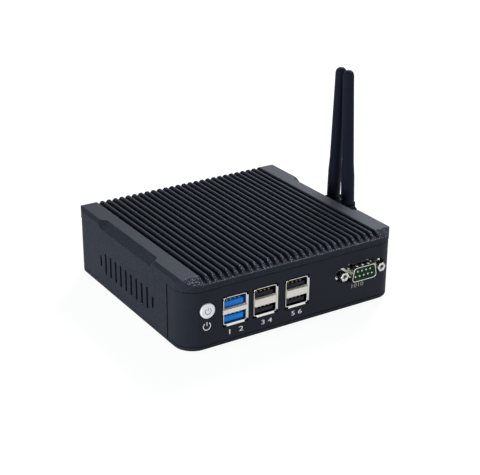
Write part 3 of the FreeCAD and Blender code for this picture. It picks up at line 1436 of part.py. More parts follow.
def wall_jacks():
    """Two threaded jacks through the right-hand wall, and their hexagon nuts."""
    jacks = new_body("antenna_jacks")
    spots = list(AERIAL_Y.values())
    nose = COVER_HALF_X + " + jack_reach"
    pad(
        jacks, "X", WALL_INSIDE + " - jack_tail", nose,
        *[(circle, spot, "aerial_z", "jack_thread_radius") for spot in spots],
    )
    pad(
        jacks, "X", WALL_INSIDE + " - jack_shoulder_thickness", WALL_INSIDE,
        *[(circle, spot, "aerial_z", "jack_shoulder_radius") for spot in spots],
    )
    cut(
        jacks, "X", nose + " - jack_bore_depth", nose + " + 1",
        *[(circle, spot, "aerial_z", "jack_bore_radius") for spot in spots],
    )
    nuts = new_body("antenna_jack_nuts")
    pad(
        nuts, "X", COVER_HALF_X, NUT_END,
        *[(hexagon, spot, "aerial_z", "hex_nut_radius") for spot in spots],
    )
    cut(
        nuts, "X", COVER_HALF_X + " - 1", NUT_END + " + 1",
        *[(circle, spot, "aerial_z", "jack_thread_radius + thread_fit") for spot in spots],
    )


def swivel_knuckle(name):
    """Round barrel with a neck held by the coupling nut, and two ears either side of a slot."""
    knuckle = new_body(name + "knuckle")
    face = "(%s + coupling_length - %s + neck_gap)" % (COUPLING_START, PIVOT_X)
    pad(knuckle, "X", face, "-knuckle_floor", (circle, "0", "0", "knuckle_radius"))
    pad(knuckle, "X", face + " - neck_length", face, (circle, "0", "0", "neck_radius"))
    slot_side = "(tongue_half_width + ear_gap)"
    for stations in (("-knuckle_flat", "-" + slot_side), (slot_side, "knuckle_flat")):
        pad(
            knuckle, "Y", *stations,
            (box, "-knuckle_floor - root_overlap", "0", "-ear_radius", "ear_radius"),
        )
        pad(knuckle, "Y", *stations, (circle, "0", "0", "ear_radius"))
    cut(
        knuckle, "Y", "-knuckle_flat - 1", "knuckle_flat + 1",
        (circle, "0", "0", "hinge_pin_radius"),
    )
    return knuckle


def mast(name):
    """Aerial's body: a sleeve, a taper, a ring groove and a domed tip, with its hinge tongue."""
    body = new_body(name + "mast")
    dome = []
    for turn in (0, 30, 60, 90):
        dome.append((
            "mast_length - mast_tip_radius * (1 - sin(%d))" % turn,
            "mast_tip_radius * cos(%d)" % turn,
        ))
    revolve(
        body, "Z",
        ("mast_start", "0"),
        ("mast_start", "mast_base_radius - mast_base_edge"),
        ("mast_start + mast_base_edge", "mast_base_radius"),
        ("mast_sleeve_end", "mast_base_radius"),
        ("mast_shoulder_end", "mast_shoulder_radius"),
        ("mast_length - mast_cap_length - mast_groove", "mast_tip_radius"),
        ("mast_length - mast_cap_length", "mast_tip_radius - mast_groove"),
        ("mast_length - mast_cap_length + mast_groove", "mast_tip_radius"),
        *dome,
    )
    pad(
        body, "Y", "-tongue_half_width", "tongue_half_width",
        (box, "-hinge_eye_radius", "hinge_eye_radius", "0", "mast_start + root_overlap"),
    )
    pad(
        body, "Y", "-tongue_half_width", "tongue_half_width",
        (circle, "0", "0", "hinge_eye_radius"),
    )
    cut(
        body, "Y", "-tongue_half_width - 1", "tongue_half_width + 1",
        (circle, "0", "0", "hinge_pin_radius + hinge_pin_clearance"),
    )
    return body


def aerial(which, lean):
    """One aerial: coupling nut, swivel knuckle, hinge pin and mast, at its resting turn."""
    name = "antenna_%s_" % which
    spot = AERIAL_Y[which]
    nut = new_body(name + "coupling_nut")
    start, end = COUPLING_START, COUPLING_START + " + coupling_length"
    pad(nut, "X", start, end, (circle, spot, "aerial_z", "coupling_radius"))
    cut(
        nut, "X", start + " - 1", end + " - coupling_wall",
        (circle, spot, "aerial_z", "jack_thread_radius + thread_fit"),
    )
    cut(nut, "X", start, end + " + 1", (circle, spot, "aerial_z", "coupling_neck_radius"))
    knuckle = swivel_knuckle(name)
    hinge_pin = new_body(name + "hinge_pin")
    pad(hinge_pin, "Y", "-knuckle_flat", "knuckle_flat", (circle, "0", "0", "hinge_pin_radius"))
    for piece in (knuckle, hinge_pin, mast(name)):
        piece.Placement = FreeCAD.Placement(Vector(0, 0, 0), FreeCAD.Rotation(Vector(1, 0, 0), size(lean)))
        piece.setExpression("Placement.Rotation.Angle", linked(lean))
        place(piece, PIVOT_X, spot, "aerial_z")


# ---- build, test and write ------------------------------------------------------------

heatsink_cover()
front_panel()
rear_panel()
base_plate()
rubber_feet()
base_screws()
motherboard()
board_screws()
processor()
memory()
slot_in_card("storage", "storage_free_x", "storage_length")
slot_in_card("wireless", "wireless_free_x", "wireless_length")
card_fixings()
clock_cell()
stacked_port(1, PORT_X[0], "fast_divider_height", "fast_tongue_thickness", True)
stacked_port(2, PORT_X[1], "divider_height", "tongue_thickness", False)
stacked_port(3, PORT_X[2], "divider_height", "tongue_thickness", False)
serial_port()
power_button()
power_inlet()
video_socket()
display_socket()
network_jacks()
audio_jacks()
wall_jacks()
aerial("front", "lean_front")
aerial("rear", "lean_rear")
document.recompute()

problems = []
for item in document.Objects:
    if "Invalid" in item.State or "Error" in item.State:
        problems.append("%s: %s" % (item.Name, item.State))
for body in parts:
    if body.Shape.isNull() or not body.Shape.isValid() or not body.Shape.Solids:
        problems.append("%s has no valid solid" % body.Label)
if problems:
    raise SystemExit("\n".join(problems))

os.makedirs("parts", exist_ok=True)
for body in parts:
    body.Shape.exportStep("parts/%s.step" % body.Label)
print("%d sub-parts written" % len(parts))
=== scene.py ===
"""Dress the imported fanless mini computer: finishes, prints, knurls, threads and stage."""

import json
import logging
import math
from collections.abc import Callable, Iterable, Mapping
from dataclasses import dataclass
from enum import Enum
from typing import Any

import bpy
from mathutils import Matrix, Vector


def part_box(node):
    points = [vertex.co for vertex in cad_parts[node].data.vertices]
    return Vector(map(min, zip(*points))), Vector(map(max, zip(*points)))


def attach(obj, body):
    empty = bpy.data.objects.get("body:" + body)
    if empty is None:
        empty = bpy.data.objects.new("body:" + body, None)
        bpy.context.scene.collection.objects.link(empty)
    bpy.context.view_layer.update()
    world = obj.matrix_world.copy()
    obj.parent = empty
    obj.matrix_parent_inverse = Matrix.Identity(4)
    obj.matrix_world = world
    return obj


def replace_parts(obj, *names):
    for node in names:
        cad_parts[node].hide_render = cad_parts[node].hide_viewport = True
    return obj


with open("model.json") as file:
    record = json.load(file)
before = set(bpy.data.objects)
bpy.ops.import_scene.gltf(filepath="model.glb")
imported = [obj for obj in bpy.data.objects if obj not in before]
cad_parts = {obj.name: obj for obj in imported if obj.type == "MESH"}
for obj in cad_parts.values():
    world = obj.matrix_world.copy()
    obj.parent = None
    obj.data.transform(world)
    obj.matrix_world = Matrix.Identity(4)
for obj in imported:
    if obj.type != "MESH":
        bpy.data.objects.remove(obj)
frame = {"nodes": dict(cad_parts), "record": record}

LOG = logging.getLogger("fanless_computer")
MM = 0.001
LOCK_SPACING_MM = 24.99
AUDIO_DROP_MM = 3.4
AUDIO_BODY_MM = 6.6
THREAD_RADIUS_MM = 1.15
LIGHT_STEP_MM = 5.6
LIGHT_RISE_MM = 1.5
# outward direction of the cover's front slope, where the flecks show in full as a painted glint, and
# how much of the flecks other faces show
PAINTED_GLINT_SLOPE = (0.0, -0.49, 0.87)
PAINTED_GLINT_ELSEWHERE = 0.06


# ---- small helpers --------------------------------------------------------------------


def linear(code: str) -> tuple[float, float, float, float]:
    """Turn an sRGB hex colour into a linear one.

    Args:
        code: Six hex digits after a hash.

    Returns:
        Red, green and blue in linear light, and an alpha of 1.
    """
    parts = [int(code[place : place + 2], 16) / 255 for place in (1, 3, 5)]
    bent = [part / 12.92 if part <= 0.04045 else ((part + 0.055) / 1.055) ** 2.4 for part in parts]
    return (bent[0], bent[1], bent[2], 1.0)


def per_metre(spacing_mm: float) -> float:
    """Texture scale on Object coordinates for a pattern of this real spacing."""
    return 1.0 / (spacing_mm * MM)


def add_node(
    tree: bpy.types.NodeTree,
    kind: str,
    settings: Mapping[str | int, Any] | None = None,
    links: Mapping[str | int, bpy.types.NodeSocket] | None = None,
) -> bpy.types.Node:
    """Add a node with its settings and links.

    Args:
        tree: The material's node tree.
        kind: The node's type name.
        settings: Values by name; a socket's name or number sets the socket, any other the node.
        links: Output sockets by the name or number of the input that each feeds.

    Returns:
        The new node.
    """
    node = tree.nodes.new(kind)
    for name, value in (settings or {}).items():
        if isinstance(name, int) or name in node.inputs:
            node.inputs[name].default_value = value
        else:
            setattr(node, name, value)
    for name, source in (links or {}).items():
        tree.links.new(source, node.inputs[name])
    return node


def deselect_all() -> None:
    """Leave nothing selected or active."""
    for item in bpy.context.selected_objects:
        item.select_set(False)
    bpy.context.view_layer.objects.active = None


def select_faces(piece: bpy.types.Object, test: Callable[[bpy.types.MeshPolygon], bool]) -> None:
    """Select a piece's faces that pass a test, and leave it in edit mode on faces.

    Args:
        piece: The active mesh, in object or edit mode.
        test: Says whether a face is wanted.
    """
    bpy.ops.object.mode_set(mode="EDIT")
    bpy.ops.mesh.select_mode(type="FACE")
    bpy.ops.mesh.select_all(action="DESELECT")
    bpy.ops.object.mode_set(mode="OBJECT")
    for face in piece.data.polygons:
        face.select = test(face)
    bpy.ops.object.mode_set(mode="EDIT")


def apply_place(piece: bpy.types.Object) -> None:
    """Move a piece's place and turn into its mesh, so that its object sits at the origin."""
    deselect_all()
    piece.select_set(True)
    bpy.context.view_layer.objects.active = piece
    bpy.ops.object.transform_apply(location=True, rotation=True, scale=True)


def finish_piece(
    piece: bpy.types.Object, name: str, finish: "Finish", body: str
) -> bpy.types.Object:
    """Name a finished piece, dress it, tie it to its body and report it.

    Args:
        piece: The modelled mesh.
        name: The piece's plain name.
        finish: What it is made of.
        body: The rigid body that carries it.

    Returns:
        The same piece.
    """
    apply_place(piece)
    piece.name = name
    piece.data.name = name
    piece.data.materials.clear()
    piece.data.materials.append(finish.material())
    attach(piece, body)
    deselect_all()
    LOG.info("made %s: %d faces, on %s", name, len(piece.data.polygons), body)
    return piece


# ---- finishes -------------------------------------------------------------------------


class Sheen(Enum):
    """How much of a surface's own gloss is left by the way it was made."""

    DEAD_MATT = 0.8
    MATT = 0.62
    SATIN = 0.42
    GLOSS = 0.18


@dataclass(frozen=True)
class Finish:
    """What every finish has: a name and a base colour."""

    name: str
    base: str

    def material(self) -> bpy.types.Material:
        """Return this finish's material, made on first use."""
        made = bpy.data.materials.get(self.name)
        if made is None:
            made = bpy.data.materials.new(self.name)
            made.use_nodes = True
            made.node_tree.nodes.clear()
            made.diffuse_color = linear(self.base)
            shader = self.surface(made.node_tree)
            add_node(
                made.node_tree, "ShaderNodeOutputMaterial", links={"Surface": shader.outputs[0]}
            )
        return made

    def surface(self, tree: bpy.types.NodeTree) -> bpy.types.Node:
        """Build the shader that the output reads."""
        raise NotImplementedError

    def places(self, tree: bpy.types.NodeTree) -> bpy.types.NodeSocket:
        """Object coordinates, in metres."""
        return add_node(tree, "ShaderNodeTexCoord").outputs["Object"]

    def bump(
        self,
        tree: bpy.types.NodeTree,
        height: bpy.types.NodeSocket,
        depth_mm: float,
        strength: float,
    ) -> bpy.types.NodeSocket:
        """A normal raised by a height pattern.

        Args:
            tree: The material's node tree.
            height: The pattern.
            depth_mm: The pattern's real depth.
            strength: How much of it shows.

        Returns:
            The normal.
        """
        node = add_node(
            tree,
            "ShaderNodeBump",
            {"Distance": depth_mm * MM, "Strength": strength},
            {"Height": height},
        )
        return node.outputs["Normal"]


@dataclass(frozen=True)
class PowderCoat(Finish):
    """Polyester powder coat on cast or folded aluminium: a fine peel with bright metal flecks."""

    fleck: str
    fleck_share: float
    grain_mm: float
    sheen: Sheen

    def surface(self, tree: bpy.types.NodeTree) -> bpy.types.Node:
        """Base tone, flecks picked cell by cell with a painted glint on faces turned like the front
        slope, and the peel as bump.
        """
        places = self.places(tree)
        tone = add_node(
            tree, "ShaderNodeTexNoise", {"Scale": per_metre(9.0), "Detail": 3.0}, {"Vector": places}
        )
        # real flecks are about 0.05 mm; they are drawn as coarse as they need to show
        cells = add_node(
            tree, "ShaderNodeTexVoronoi", {"Scale": per_metre(self.grain_mm)}, {"Vector": places}
        )
        split = add_node(tree, "ShaderNodeSeparateColor", links={"Color": cells.outputs["Color"]})
        picked = add_node(
            tree,
            "ShaderNodeMapRange",
            {"From Min": 1.0 - self.fleck_share, "From Max": 1.0},
            {"Value": split.outputs["Red"]},
        )
        # painted glint: the flecks show in full on faces turned like the cover's front slope, standing
        # in for the front lamp's highlight, and faintly on other faces
        surface = add_node(tree, "ShaderNodeNewGeometry")
        facing = add_node(
            tree,
            "ShaderNodeVectorMath",
            {"operation": "DOT_PRODUCT", 1: PAINTED_GLINT_SLOPE},
            {0: surface.outputs["Normal"]},
        )
        painted_glint = add_node(
            tree,
            "ShaderNodeMapRange",
            {"From Min": 0.90, "From Max": 0.97, "To Min": PAINTED_GLINT_ELSEWHERE, "To Max": 1.0},
            {"Value": facing.outputs["Value"]},
        )
        fleck_and_painted_glint = add_node(
            tree,
            "ShaderNodeMath",
            {"operation": "MULTIPLY"},
            {0: picked.outputs["Result"], 1: painted_glint.outputs["Result"]},
        )
        shade = add_node(
            tree,
            "ShaderNodeMapRange",
            {"From Min": 0.3, "From Max": 0.7, "To Min": 0.93, "To Max": 1.07},
            {"Value": tone.outputs["Fac"]},
        )
        toned = add_node(
            tree,
            "ShaderNodeMix",
            {"data_type": "RGBA", "blend_type": "MULTIPLY", 0: 1.0, 6: linear(self.base)},
            {7: shade.outputs["Result"]},
        )
        colour = add_node(
            tree,
            "ShaderNodeMix",
            {"data_type": "RGBA", 7: linear(self.fleck)},
            {0: fleck_and_painted_glint.outputs["Value"], 6: toned.outputs[2]},
        )
        peel = add_node(
            tree,
            "ShaderNodeTexNoise",
            {"Scale": per_metre(self.grain_mm * 1.6), "Detail": 2.0},
            {"Vector": places},
        )
        rough = add_node(
            tree,
            "ShaderNodeMapRange",
            {"To Min": self.sheen.value, "To Max": self.sheen.value - 0.12},
            {"Value": fleck_and_painted_glint.outputs["Value"]},
        )
        return add_node(
            tree,
            "ShaderNodeBsdfPrincipled",
            {"IOR": 1.5, "Specular IOR Level": 0.12},
            {
                "Base Color": colour.outputs[2],
                "Roughness": rough.outputs["Result"],
                "Normal": self.bump(tree, peel.outputs["Fac"], 0.02, 0.35),
            },
        )


@dataclass(frozen=True)
class Moulding(Finish):
    """Injection-moulded plastic: an even tone with the mould's fine spark-eroded texture."""

    sheen: Sheen
    texture_mm: float = 0.25
    shine: float = 0.5

    def surface(self, tree: bpy.types.NodeTree) -> bpy.types.Node:
        """A faint cloud of tone, and the mould's texture in gloss and bump."""
        places = self.places(tree)
        cloud = add_node(
            tree, "ShaderNodeTexNoise", {"Scale": per_metre(6.0), "Detail": 2.0}, {"Vector": places}
        )
        shade = add_node(
            tree,
            "ShaderNodeMapRange",
            {"From Min": 0.3, "From Max": 0.7, "To Min": 0.95, "To Max": 1.04},
            {"Value": cloud.outputs["Fac"]},
        )
        colour = add_node(
            tree,
            "ShaderNodeMix",
            {"data_type": "RGBA", "blend_type": "MULTIPLY", 0: 1.0, 6: linear(self.base)},
            {7: shade.outputs["Result"]},
        )
        texture = add_node(
            tree,
            "ShaderNodeTexNoise",
            {"Scale": per_metre(self.texture_mm), "Detail": 2.0},
            {"Vector": places},
        )
        rough = add_node(
            tree,
            "ShaderNodeMapRange",
            {"To Min": self.sheen.value - 0.05, "To Max": self.sheen.value + 0.05},
            {"Value": texture.outputs["Fac"]},
        )
        return add_node(
            tree,
            "ShaderNodeBsdfPrincipled",
            {"IOR": 1.5, "Specular IOR Level": self.shine},
            {
                "Base Color": colour.outputs[2],
                "Roughness": rough.outputs["Result"],
                "Normal": self.bump(tree, texture.outputs["Fac"], 0.01, 0.25),
            },
        )


@dataclass(frozen=True)
class Plating(Finish):
    """Plated steel or brass: clean metal with faint rolling lines and handling smears."""

    sheen: Sheen
    line_mm: float = 0.12

    def surface(self, tree: bpy.types.NodeTree) -> bpy.types.Node:
        """Rolling lines along one way, and smears in the gloss."""
        places = self.places(tree)
        stretch = add_node(
            tree, "ShaderNodeMapping", {"Scale": (1.0, 0.08, 1.0)}, {"Vector": places}
        )
        lines = add_node(
            tree,
            "ShaderNodeTexNoise",
            {"Scale": per_metre(self.line_mm), "Detail": 3.0},
            {"Vector": stretch.outputs["Vector"]},
        )
        smears = add_node(
            tree, "ShaderNodeTexNoise", {"Scale": per_metre(4.0), "Detail": 4.0}, {"Vector": places}
        )
        mixed = add_node(
            tree,
            "ShaderNodeMath",
            {"operation": "MULTIPLY"},
            {0: lines.outputs["Fac"], 1: smears.outputs["Fac"]},
        )
        rough = add_node(
            tree,
            "ShaderNodeMapRange",
            {"From Max": 0.5, "To Min": self.sheen.value - 0.08, "To Max": self.sheen.value + 0.12},
            {"Value": mixed.outputs["Value"]},
        )
        return add_node(
            tree,
            "ShaderNodeBsdfPrincipled",
            {"Base Color": linear(self.base), "Metallic": 1.0},
            {
                "Roughness": rough.outputs["Result"],
                "Normal": self.bump(tree, lines.outputs["Fac"], 0.004, 0.2),
            },
        )


@dataclass(frozen=True)
class SolderMask(Finish):
    """Glass-epoxy board under solder mask: buried tracks show as a paler net, with tinned vias."""

    track: str
    via: str

    def surface(self, tree: bpy.types.NodeTree) -> bpy.types.Node:
        """Tracks from a brick net at 1.27 mm, and round vias from a cell pattern at 2.5 mm."""
        places = self.places(tree)
        net = add_node(
            tree,
            "ShaderNodeTexBrick",
            {
                "Color1": linear(self.base),
                "Color2": linear(self.base),
                "Mortar": linear(self.track),
                "Scale": per_metre(1.27) / 4,
                "Mortar Size": 0.012,
                "Brick Width": 2.4,
            },
            {"Vector": places},
        )
        spots = add_node(
            tree,
            "ShaderNodeTexVoronoi",
            {"Scale": per_metre(2.5), "Randomness": 0.8},
            {"Vector": places},
        )
        is_via = add_node(
            tree,
            "ShaderNodeMath",
            {"operation": "LESS_THAN", 1: 0.13},
            {0: spots.outputs["Distance"]},
        )
        colour = add_node(
            tree,
            "ShaderNodeMix",
            {"data_type": "RGBA", 7: linear(self.via)},
            {0: is_via.outputs["Value"], 6: net.outputs["Color"]},
        )
        return add_node(
            tree,
            "ShaderNodeBsdfPrincipled",
            {"IOR": 1.55, "Roughness": 0.3},
            {
                "Base Color": colour.outputs[2],
                "Normal": self.bump(tree, net.outputs["Fac"], 0.03, 0.4),
            },
        )


@dataclass(frozen=True)
class Package(Finish):
    """Processor carrier: green laminate below, and the bare mirror-grey die above a height."""

    die: str
    die_floor_mm: float

    def surface(self, tree: bpy.types.NodeTree) -> bpy.types.Node:
        """Two colours parted by height, with the laminate's weave as bump."""
        places = self.places(tree)
        split = add_node(tree, "ShaderNodeSeparateXYZ", links={"Vector": places})
        above = add_node(
            tree,
            "ShaderNodeMath",
            {"operation": "GREATER_THAN", 1: self.die_floor_mm * MM},
            {0: split.outputs["Z"]},
        )
        colour = add_node(
            tree,
            "ShaderNodeMix",
            {"data_type": "RGBA", 6: linear(self.base), 7: linear(self.die)},
            {0: above.outputs["Value"]},
        )
        weave = add_node(
            tree, "ShaderNodeTexNoise", {"Scale": per_metre(0.5), "Detail": 1.0}, {"Vector": places}
        )
        return add_node(
            tree,
            "ShaderNodeBsdfPrincipled",
            {"IOR": 1.5, "Roughness": 0.28},
            {
                "Base Color": colour.outputs[2],
                "Normal": self.bump(tree, weave.outputs["Fac"], 0.01, 0.2),
            },
        )


@dataclass(frozen=True)
class Lamp(Finish):
    """Clear tinted light pipe, unlit: a smooth deep colour with a cast swirl."""

    def surface(self, tree: bpy.types.NodeTree) -> bpy.types.Node:
        """Glossy tinted plastic with faint swirls."""
        swirl = add_node(
            tree,
            "ShaderNodeTexNoise",
            {"Scale": per_metre(1.5), "Distortion": 1.0},
            {"Vector": self.places(tree)},
        )
        return add_node(
            tree,
            "ShaderNodeBsdfPrincipled",
            {
                "Base Color": linear(self.base),
                "Roughness": 0.12,
                "IOR": 1.49,
                "Transmission Weight": 0.35,
            },
            {"Normal": self.bump(tree, swirl.outputs["Fac"], 0.02, 0.15)},
        )


# polyester powder with coarse bright flecks, sprayed on the die casting; the flecks carry a painted
# glint on the front slope
COVER_COAT = PowderCoat("cover_powder_coat", "#1c212b", "#c9c6dc", 0.14, 0.30, Sheen.MATT)
# the same powder without the coarse flecks, on folded sheet
PANEL_COAT = PowderCoat("panel_powder_coat", "#1e222a", "#3a3e46", 0.06, 0.30, Sheen.MATT)
WHITE_ABS = Moulding("button_abs", "#fbfbfd", Sheen.SATIN)
CREAM_PBT = Moulding("port_bar_pbt", "#f4ecdf", Sheen.MATT)
BLUE_PBT = Moulding("fast_port_pbt", "#1581de", Sheen.SATIN, 0.25, 0.2)
DARK_PBT = Moulding("slow_port_pbt", "#121724", Sheen.SATIN, 0.25, 0.25)
GREEN_PBT = Moulding("serial_pbt", "#0a3a1e", Sheen.SATIN, 0.25, 0.2)
LIME_PBT = Moulding("audio_lime_pbt", "#7fb84a", Sheen.MATT)
PINK_PBT = Moulding("audio_pink_pbt", "#d98aa6", Sheen.MATT)
BLACK_NYLON = Moulding("socket_nylon", "#141416", Sheen.MATT)
AERIAL_TPE = Moulding("aerial_elastomer", "#0d1322", Sheen.MATT, 0.4, 0.12)
FOOT_RUBBER = Moulding("foot_rubber", "#161616", Sheen.DEAD_MATT, 0.5)
PAD_SILICONE = Moulding("pad_silicone", "#8f9aa8", Sheen.DEAD_MATT, 0.6)
TIN_PLATE = Plating("tinned_shell", "#dcdad4", Sheen.SATIN)
NICKEL = Plating("nickel_plate", "#c9c7c2", Sheen.GLOSS)
GOLD = Plating("gold_plate", "#d9b35a", Sheen.GLOSS)
CELL_STEEL = Plating("cell_steel", "#cfcfce", Sheen.SATIN, 0.3)
BOARD_MASK = SolderMask("board_mask", "#0f3d27", "#1c5a3a", "#c8c4b0")
CARD_MASK = SolderMask("card_mask", "#0c3322", "#174a33", "#d0b469")
CARRIER = Package("processor_carrier", "#1f5a38", "#5b5e66", 28.55)
WHITE_INK = Moulding("white_ink", "#eeeeee", Sheen.MATT, 0.15)
GREY_INK = Moulding("grey_ink", "#9a9a90", Sheen.MATT, 0.15)
BUTTON_INK = Moulding("button_ink", "#8a8a90", Sheen.MATT, 0.15)
GREEN_LAMP = Lamp("green_lamp", "#4fae5a")
AMBER_LAMP = Lamp("amber_lamp", "#d69a3a")

# one slot holds contacts of two platings
NODE_FINISHES: dict[str, Finish] = {"serial_pins": NICKEL}

SLOT_FINISHES: dict[str, Finish] = {
    "cover_paint": COVER_COAT,
    "panel_paint": PANEL_COAT,
    "foot_rubber": FOOT_RUBBER,
    "plated_steel": NICKEL,
    "board_laminate": BOARD_MASK,
    "processor_package": CARRIER,
    "thermal_silicone": PAD_SILICONE,
    "black_moulding": BLACK_NYLON,
    "card_laminate": CARD_MASK,
    "cell_steel": CELL_STEEL,
    "tinned_shell": TIN_PLATE,
    "cream_moulding": CREAM_PBT,
    "blue_moulding": BLUE_PBT,
    "dark_moulding": DARK_PBT,
    "green_moulding": GREEN_PBT,
    "gold_plate": GOLD,
    "white_moulding": WHITE_ABS,
    "aerial_moulding": AERIAL_TPE,
}


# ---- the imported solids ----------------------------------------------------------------

# edges that are rounder than a sheared or moulded one
EDGE_RADII_MM = {
    "heatsink_cover": 0.45,
    "serial_screwlocks": 0.4,
    "display_screwlocks": 0.4,
    "antenna_front_knuckle": 0.35,
    "antenna_rear_knuckle": 0.35,
}


@dataclass
class Solids:
    """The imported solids: their finishes, and the small radii that real edges have."""

    edge_mm: float = 0.12
    sharp_degrees: float = 32.0

    def dress(self) -> None:
        """Give every node its finish and its edge radius."""
        slots = {row["node"]: row["material_slot"] for row in frame["record"]["subparts"]}
        for name, node in frame["nodes"].items():
            node.data.materials.clear()
            finish = NODE_FINISHES.get(name, SLOT_FINISHES[slots[name]])
            node.data.materials.append(finish.material())
            self.round_edges(node, EDGE_RADII_MM.get(name, self.edge_mm))
        LOG.info("dressed %d solids", len(frame["nodes"]))

    def round_edges(self, node: bpy.types.Object, width_mm: float) -> None:
        """Join a node's facets and round its sharp edges, in modifiers alone.

        Args:
            node: The solid.
            width_mm: The edge radius.
        """
        for face in node.data.polygons:
            face.use_smooth = True
        weld = node.modifiers.new("join_facets", "WELD")
        weld.merge_threshold = 0.001 * MM
        bevel = node.modifiers.new("edge_radius", "BEVEL")
        bevel.limit_method = "ANGLE"
        bevel.angle_limit = math.radians(self.sharp_degrees)
        bevel.width = width_mm * MM
        bevel.segments = 2
        bevel.use_clamp_overlap = True
        weights = node.modifiers.new("even_shading", "WEIGHTED_NORMAL")
        weights.keep_sharp = True


# ---- prints ---------------------------------------------------------------------------


class Side(Enum):
    """Which panel a print is on, as the sign of its outward direction along Y."""

    FRONT = -1
    REAR = 1


@dataclass
class Print:
    """A line of plain numerals printed on a panel."""

    text: str
    name: str
    side: Side
    x_mm: float
    z_mm: float
    width_mm: float
    height_mm: float
    ink: Finish
    thickness_mm: float = 0.03

    def build(self) -> bpy.types.Object:
        """Set the numerals, fit them to their place and lay them on the panel.

        Returns:
            The print.
        """
        deselect_all()
        bpy.ops.object.text_add()
        words = bpy.context.object
        words.data.body = self.text
        words.data.align_x = "CENTER"
        words.data.align_y = "CENTER"
        words.data.extrude = 0.01
        words.data.resolution_u = 4
        bpy.ops.object.convert(target="MESH")
        words = bpy.context.object
        low, high = mesh_limits(words)
        size = high - low
        words.data.transform(Matrix.Translation(-(low + high) / 2))
        words.scale = (
            self.width_mm * MM / size.x,
            self.height_mm * MM / size.y,
            self.thickness_mm * MM / size.z,
        )
        turn = 0.0 if self.side is Side.FRONT else math.pi
        words.rotation_euler = (math.radians(90), 0.0, turn)
        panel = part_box("front_panel")[0].y if self.side is Side.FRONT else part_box("rear_panel")[1].y
        lift = self.side.value * 0.4 * self.thickness_mm * MM
        words.location = (self.x_mm * MM, panel + lift, self.z_mm * MM)
        return finish_piece(words, self.name, self.ink, "case")


def mesh_limits(piece: bpy.types.Object) -> tuple[Vector, Vector]:
    """Lowest and highest corner of a piece's own mesh."""
    spots = [vertex.co for vertex in piece.data.vertices]
    low = Vector(min(spot[axis] for spot in spots) for axis in range(3))
    high = Vector(max(spot[axis] for spot in spots) for axis in range(3))
    return low, high


@dataclass
class StandbySign:
    """The usual standby sign: an open ring with a bar through its gap."""

    name: str
    x_mm: float
    z_mm: float
    face_y_mm: float
    radius_mm: float
    stroke_mm: float
    ink: Finish
    body: str
    thickness_mm: float = 0.03
    gap_degrees: float = 75.0
    steps: int = 36

    def build(self) -> bpy.types.Object:
        """Spin a small stroke round the ring, add the bar, and dress the sign.

        Returns:
            The sign.
        """
        ring = self.stroke_block((0.0, 0.0, self.radius_mm), self.stroke_mm)
        bpy.ops.object.mode_set(mode="EDIT")
        half_gap = math.radians(self.gap_degrees / 2)
        bpy.ops.mesh.select_all(action="SELECT")
        bpy.ops.transform.rotate(
            value=half_gap, orient_axis="Y", orient_type="GLOBAL", center_override=(0.0, 0.0, 0.0)
        )
        bpy.ops.mesh.select_all(action="SELECT")
        bpy.ops.mesh.spin(
            steps=self.steps,
            angle=math.radians(360.0 - self.gap_degrees),
            center=(0.0, 0.0, 0.0),
            axis=(0.0, 1.0, 0.0),
        )
        bpy.ops.mesh.select_all(action="SELECT")
        bpy.ops.mesh.normals_make_consistent(inside=False)
        bpy.ops.object.mode_set(mode="OBJECT")
        bar_length = self.radius_mm * 1.05
        bar = self.bar_block(bar_length)
        deselect_all()
        bar.select_set(True)
        ring.select_set(True)
        bpy.context.view_layer.objects.active = ring
        bpy.ops.object.join()
        ring.location = (self.x_mm * MM, self.face_y_mm * MM, self.z_mm * MM)
        return finish_piece(ring, self.name, self.ink, self.body)

    def stroke_block(
        self, centre_mm: tuple[float, float, float], across_mm: float
    ) -> bpy.types.Object:
        """A flat plane as thick as the ink and as wide as the stroke, square to X.

        Args:
            centre_mm: Its middle.
            across_mm: The stroke's width.

        Returns:
            The plane, active.
        """
        deselect_all()
        spot = [value * MM for value in centre_mm]
        bpy.ops.mesh.primitive_plane_add(
            size=1.0, location=spot, rotation=(0.0, math.radians(90), 0.0)
        )
        plane = bpy.context.object
        plane.scale = (across_mm * MM, self.thickness_mm * MM, 1.0)
        apply_place(plane)
        return plane

    def bar_block(self, length_mm: float) -> bpy.types.Object:
        """The upright bar, extruded from a stroke-wide foot.

        Args:
            length_mm: Its length, upwards from near the ring's middle.

        Returns:
            The bar.
        """
        deselect_all()
        foot = self.radius_mm * 0.1
        bpy.ops.mesh.primitive_plane_add(size=1.0, location=(0.0, 0.0, foot * MM))
        bar = bpy.context.object
        bar.scale = (self.stroke_mm * MM, self.thickness_mm * MM, 1.0)
        apply_place(bar)
        bar.select_set(True)
        bpy.context.view_layer.objects.active = bar
        bpy.ops.object.mode_set(mode="EDIT")
        bpy.ops.mesh.select_all(action="SELECT")
        bpy.ops.mesh.extrude_region_move(
            TRANSFORM_OT_translate={"value": (0.0, 0.0, length_mm * MM)}
        )
        bpy.ops.mesh.select_all(action="SELECT")
        bpy.ops.mesh.normals_make_consistent(inside=False)
        bpy.ops.object.mode_set(mode="OBJECT")
        return bar


# ---- sockets --------------------------------------------------------------------------


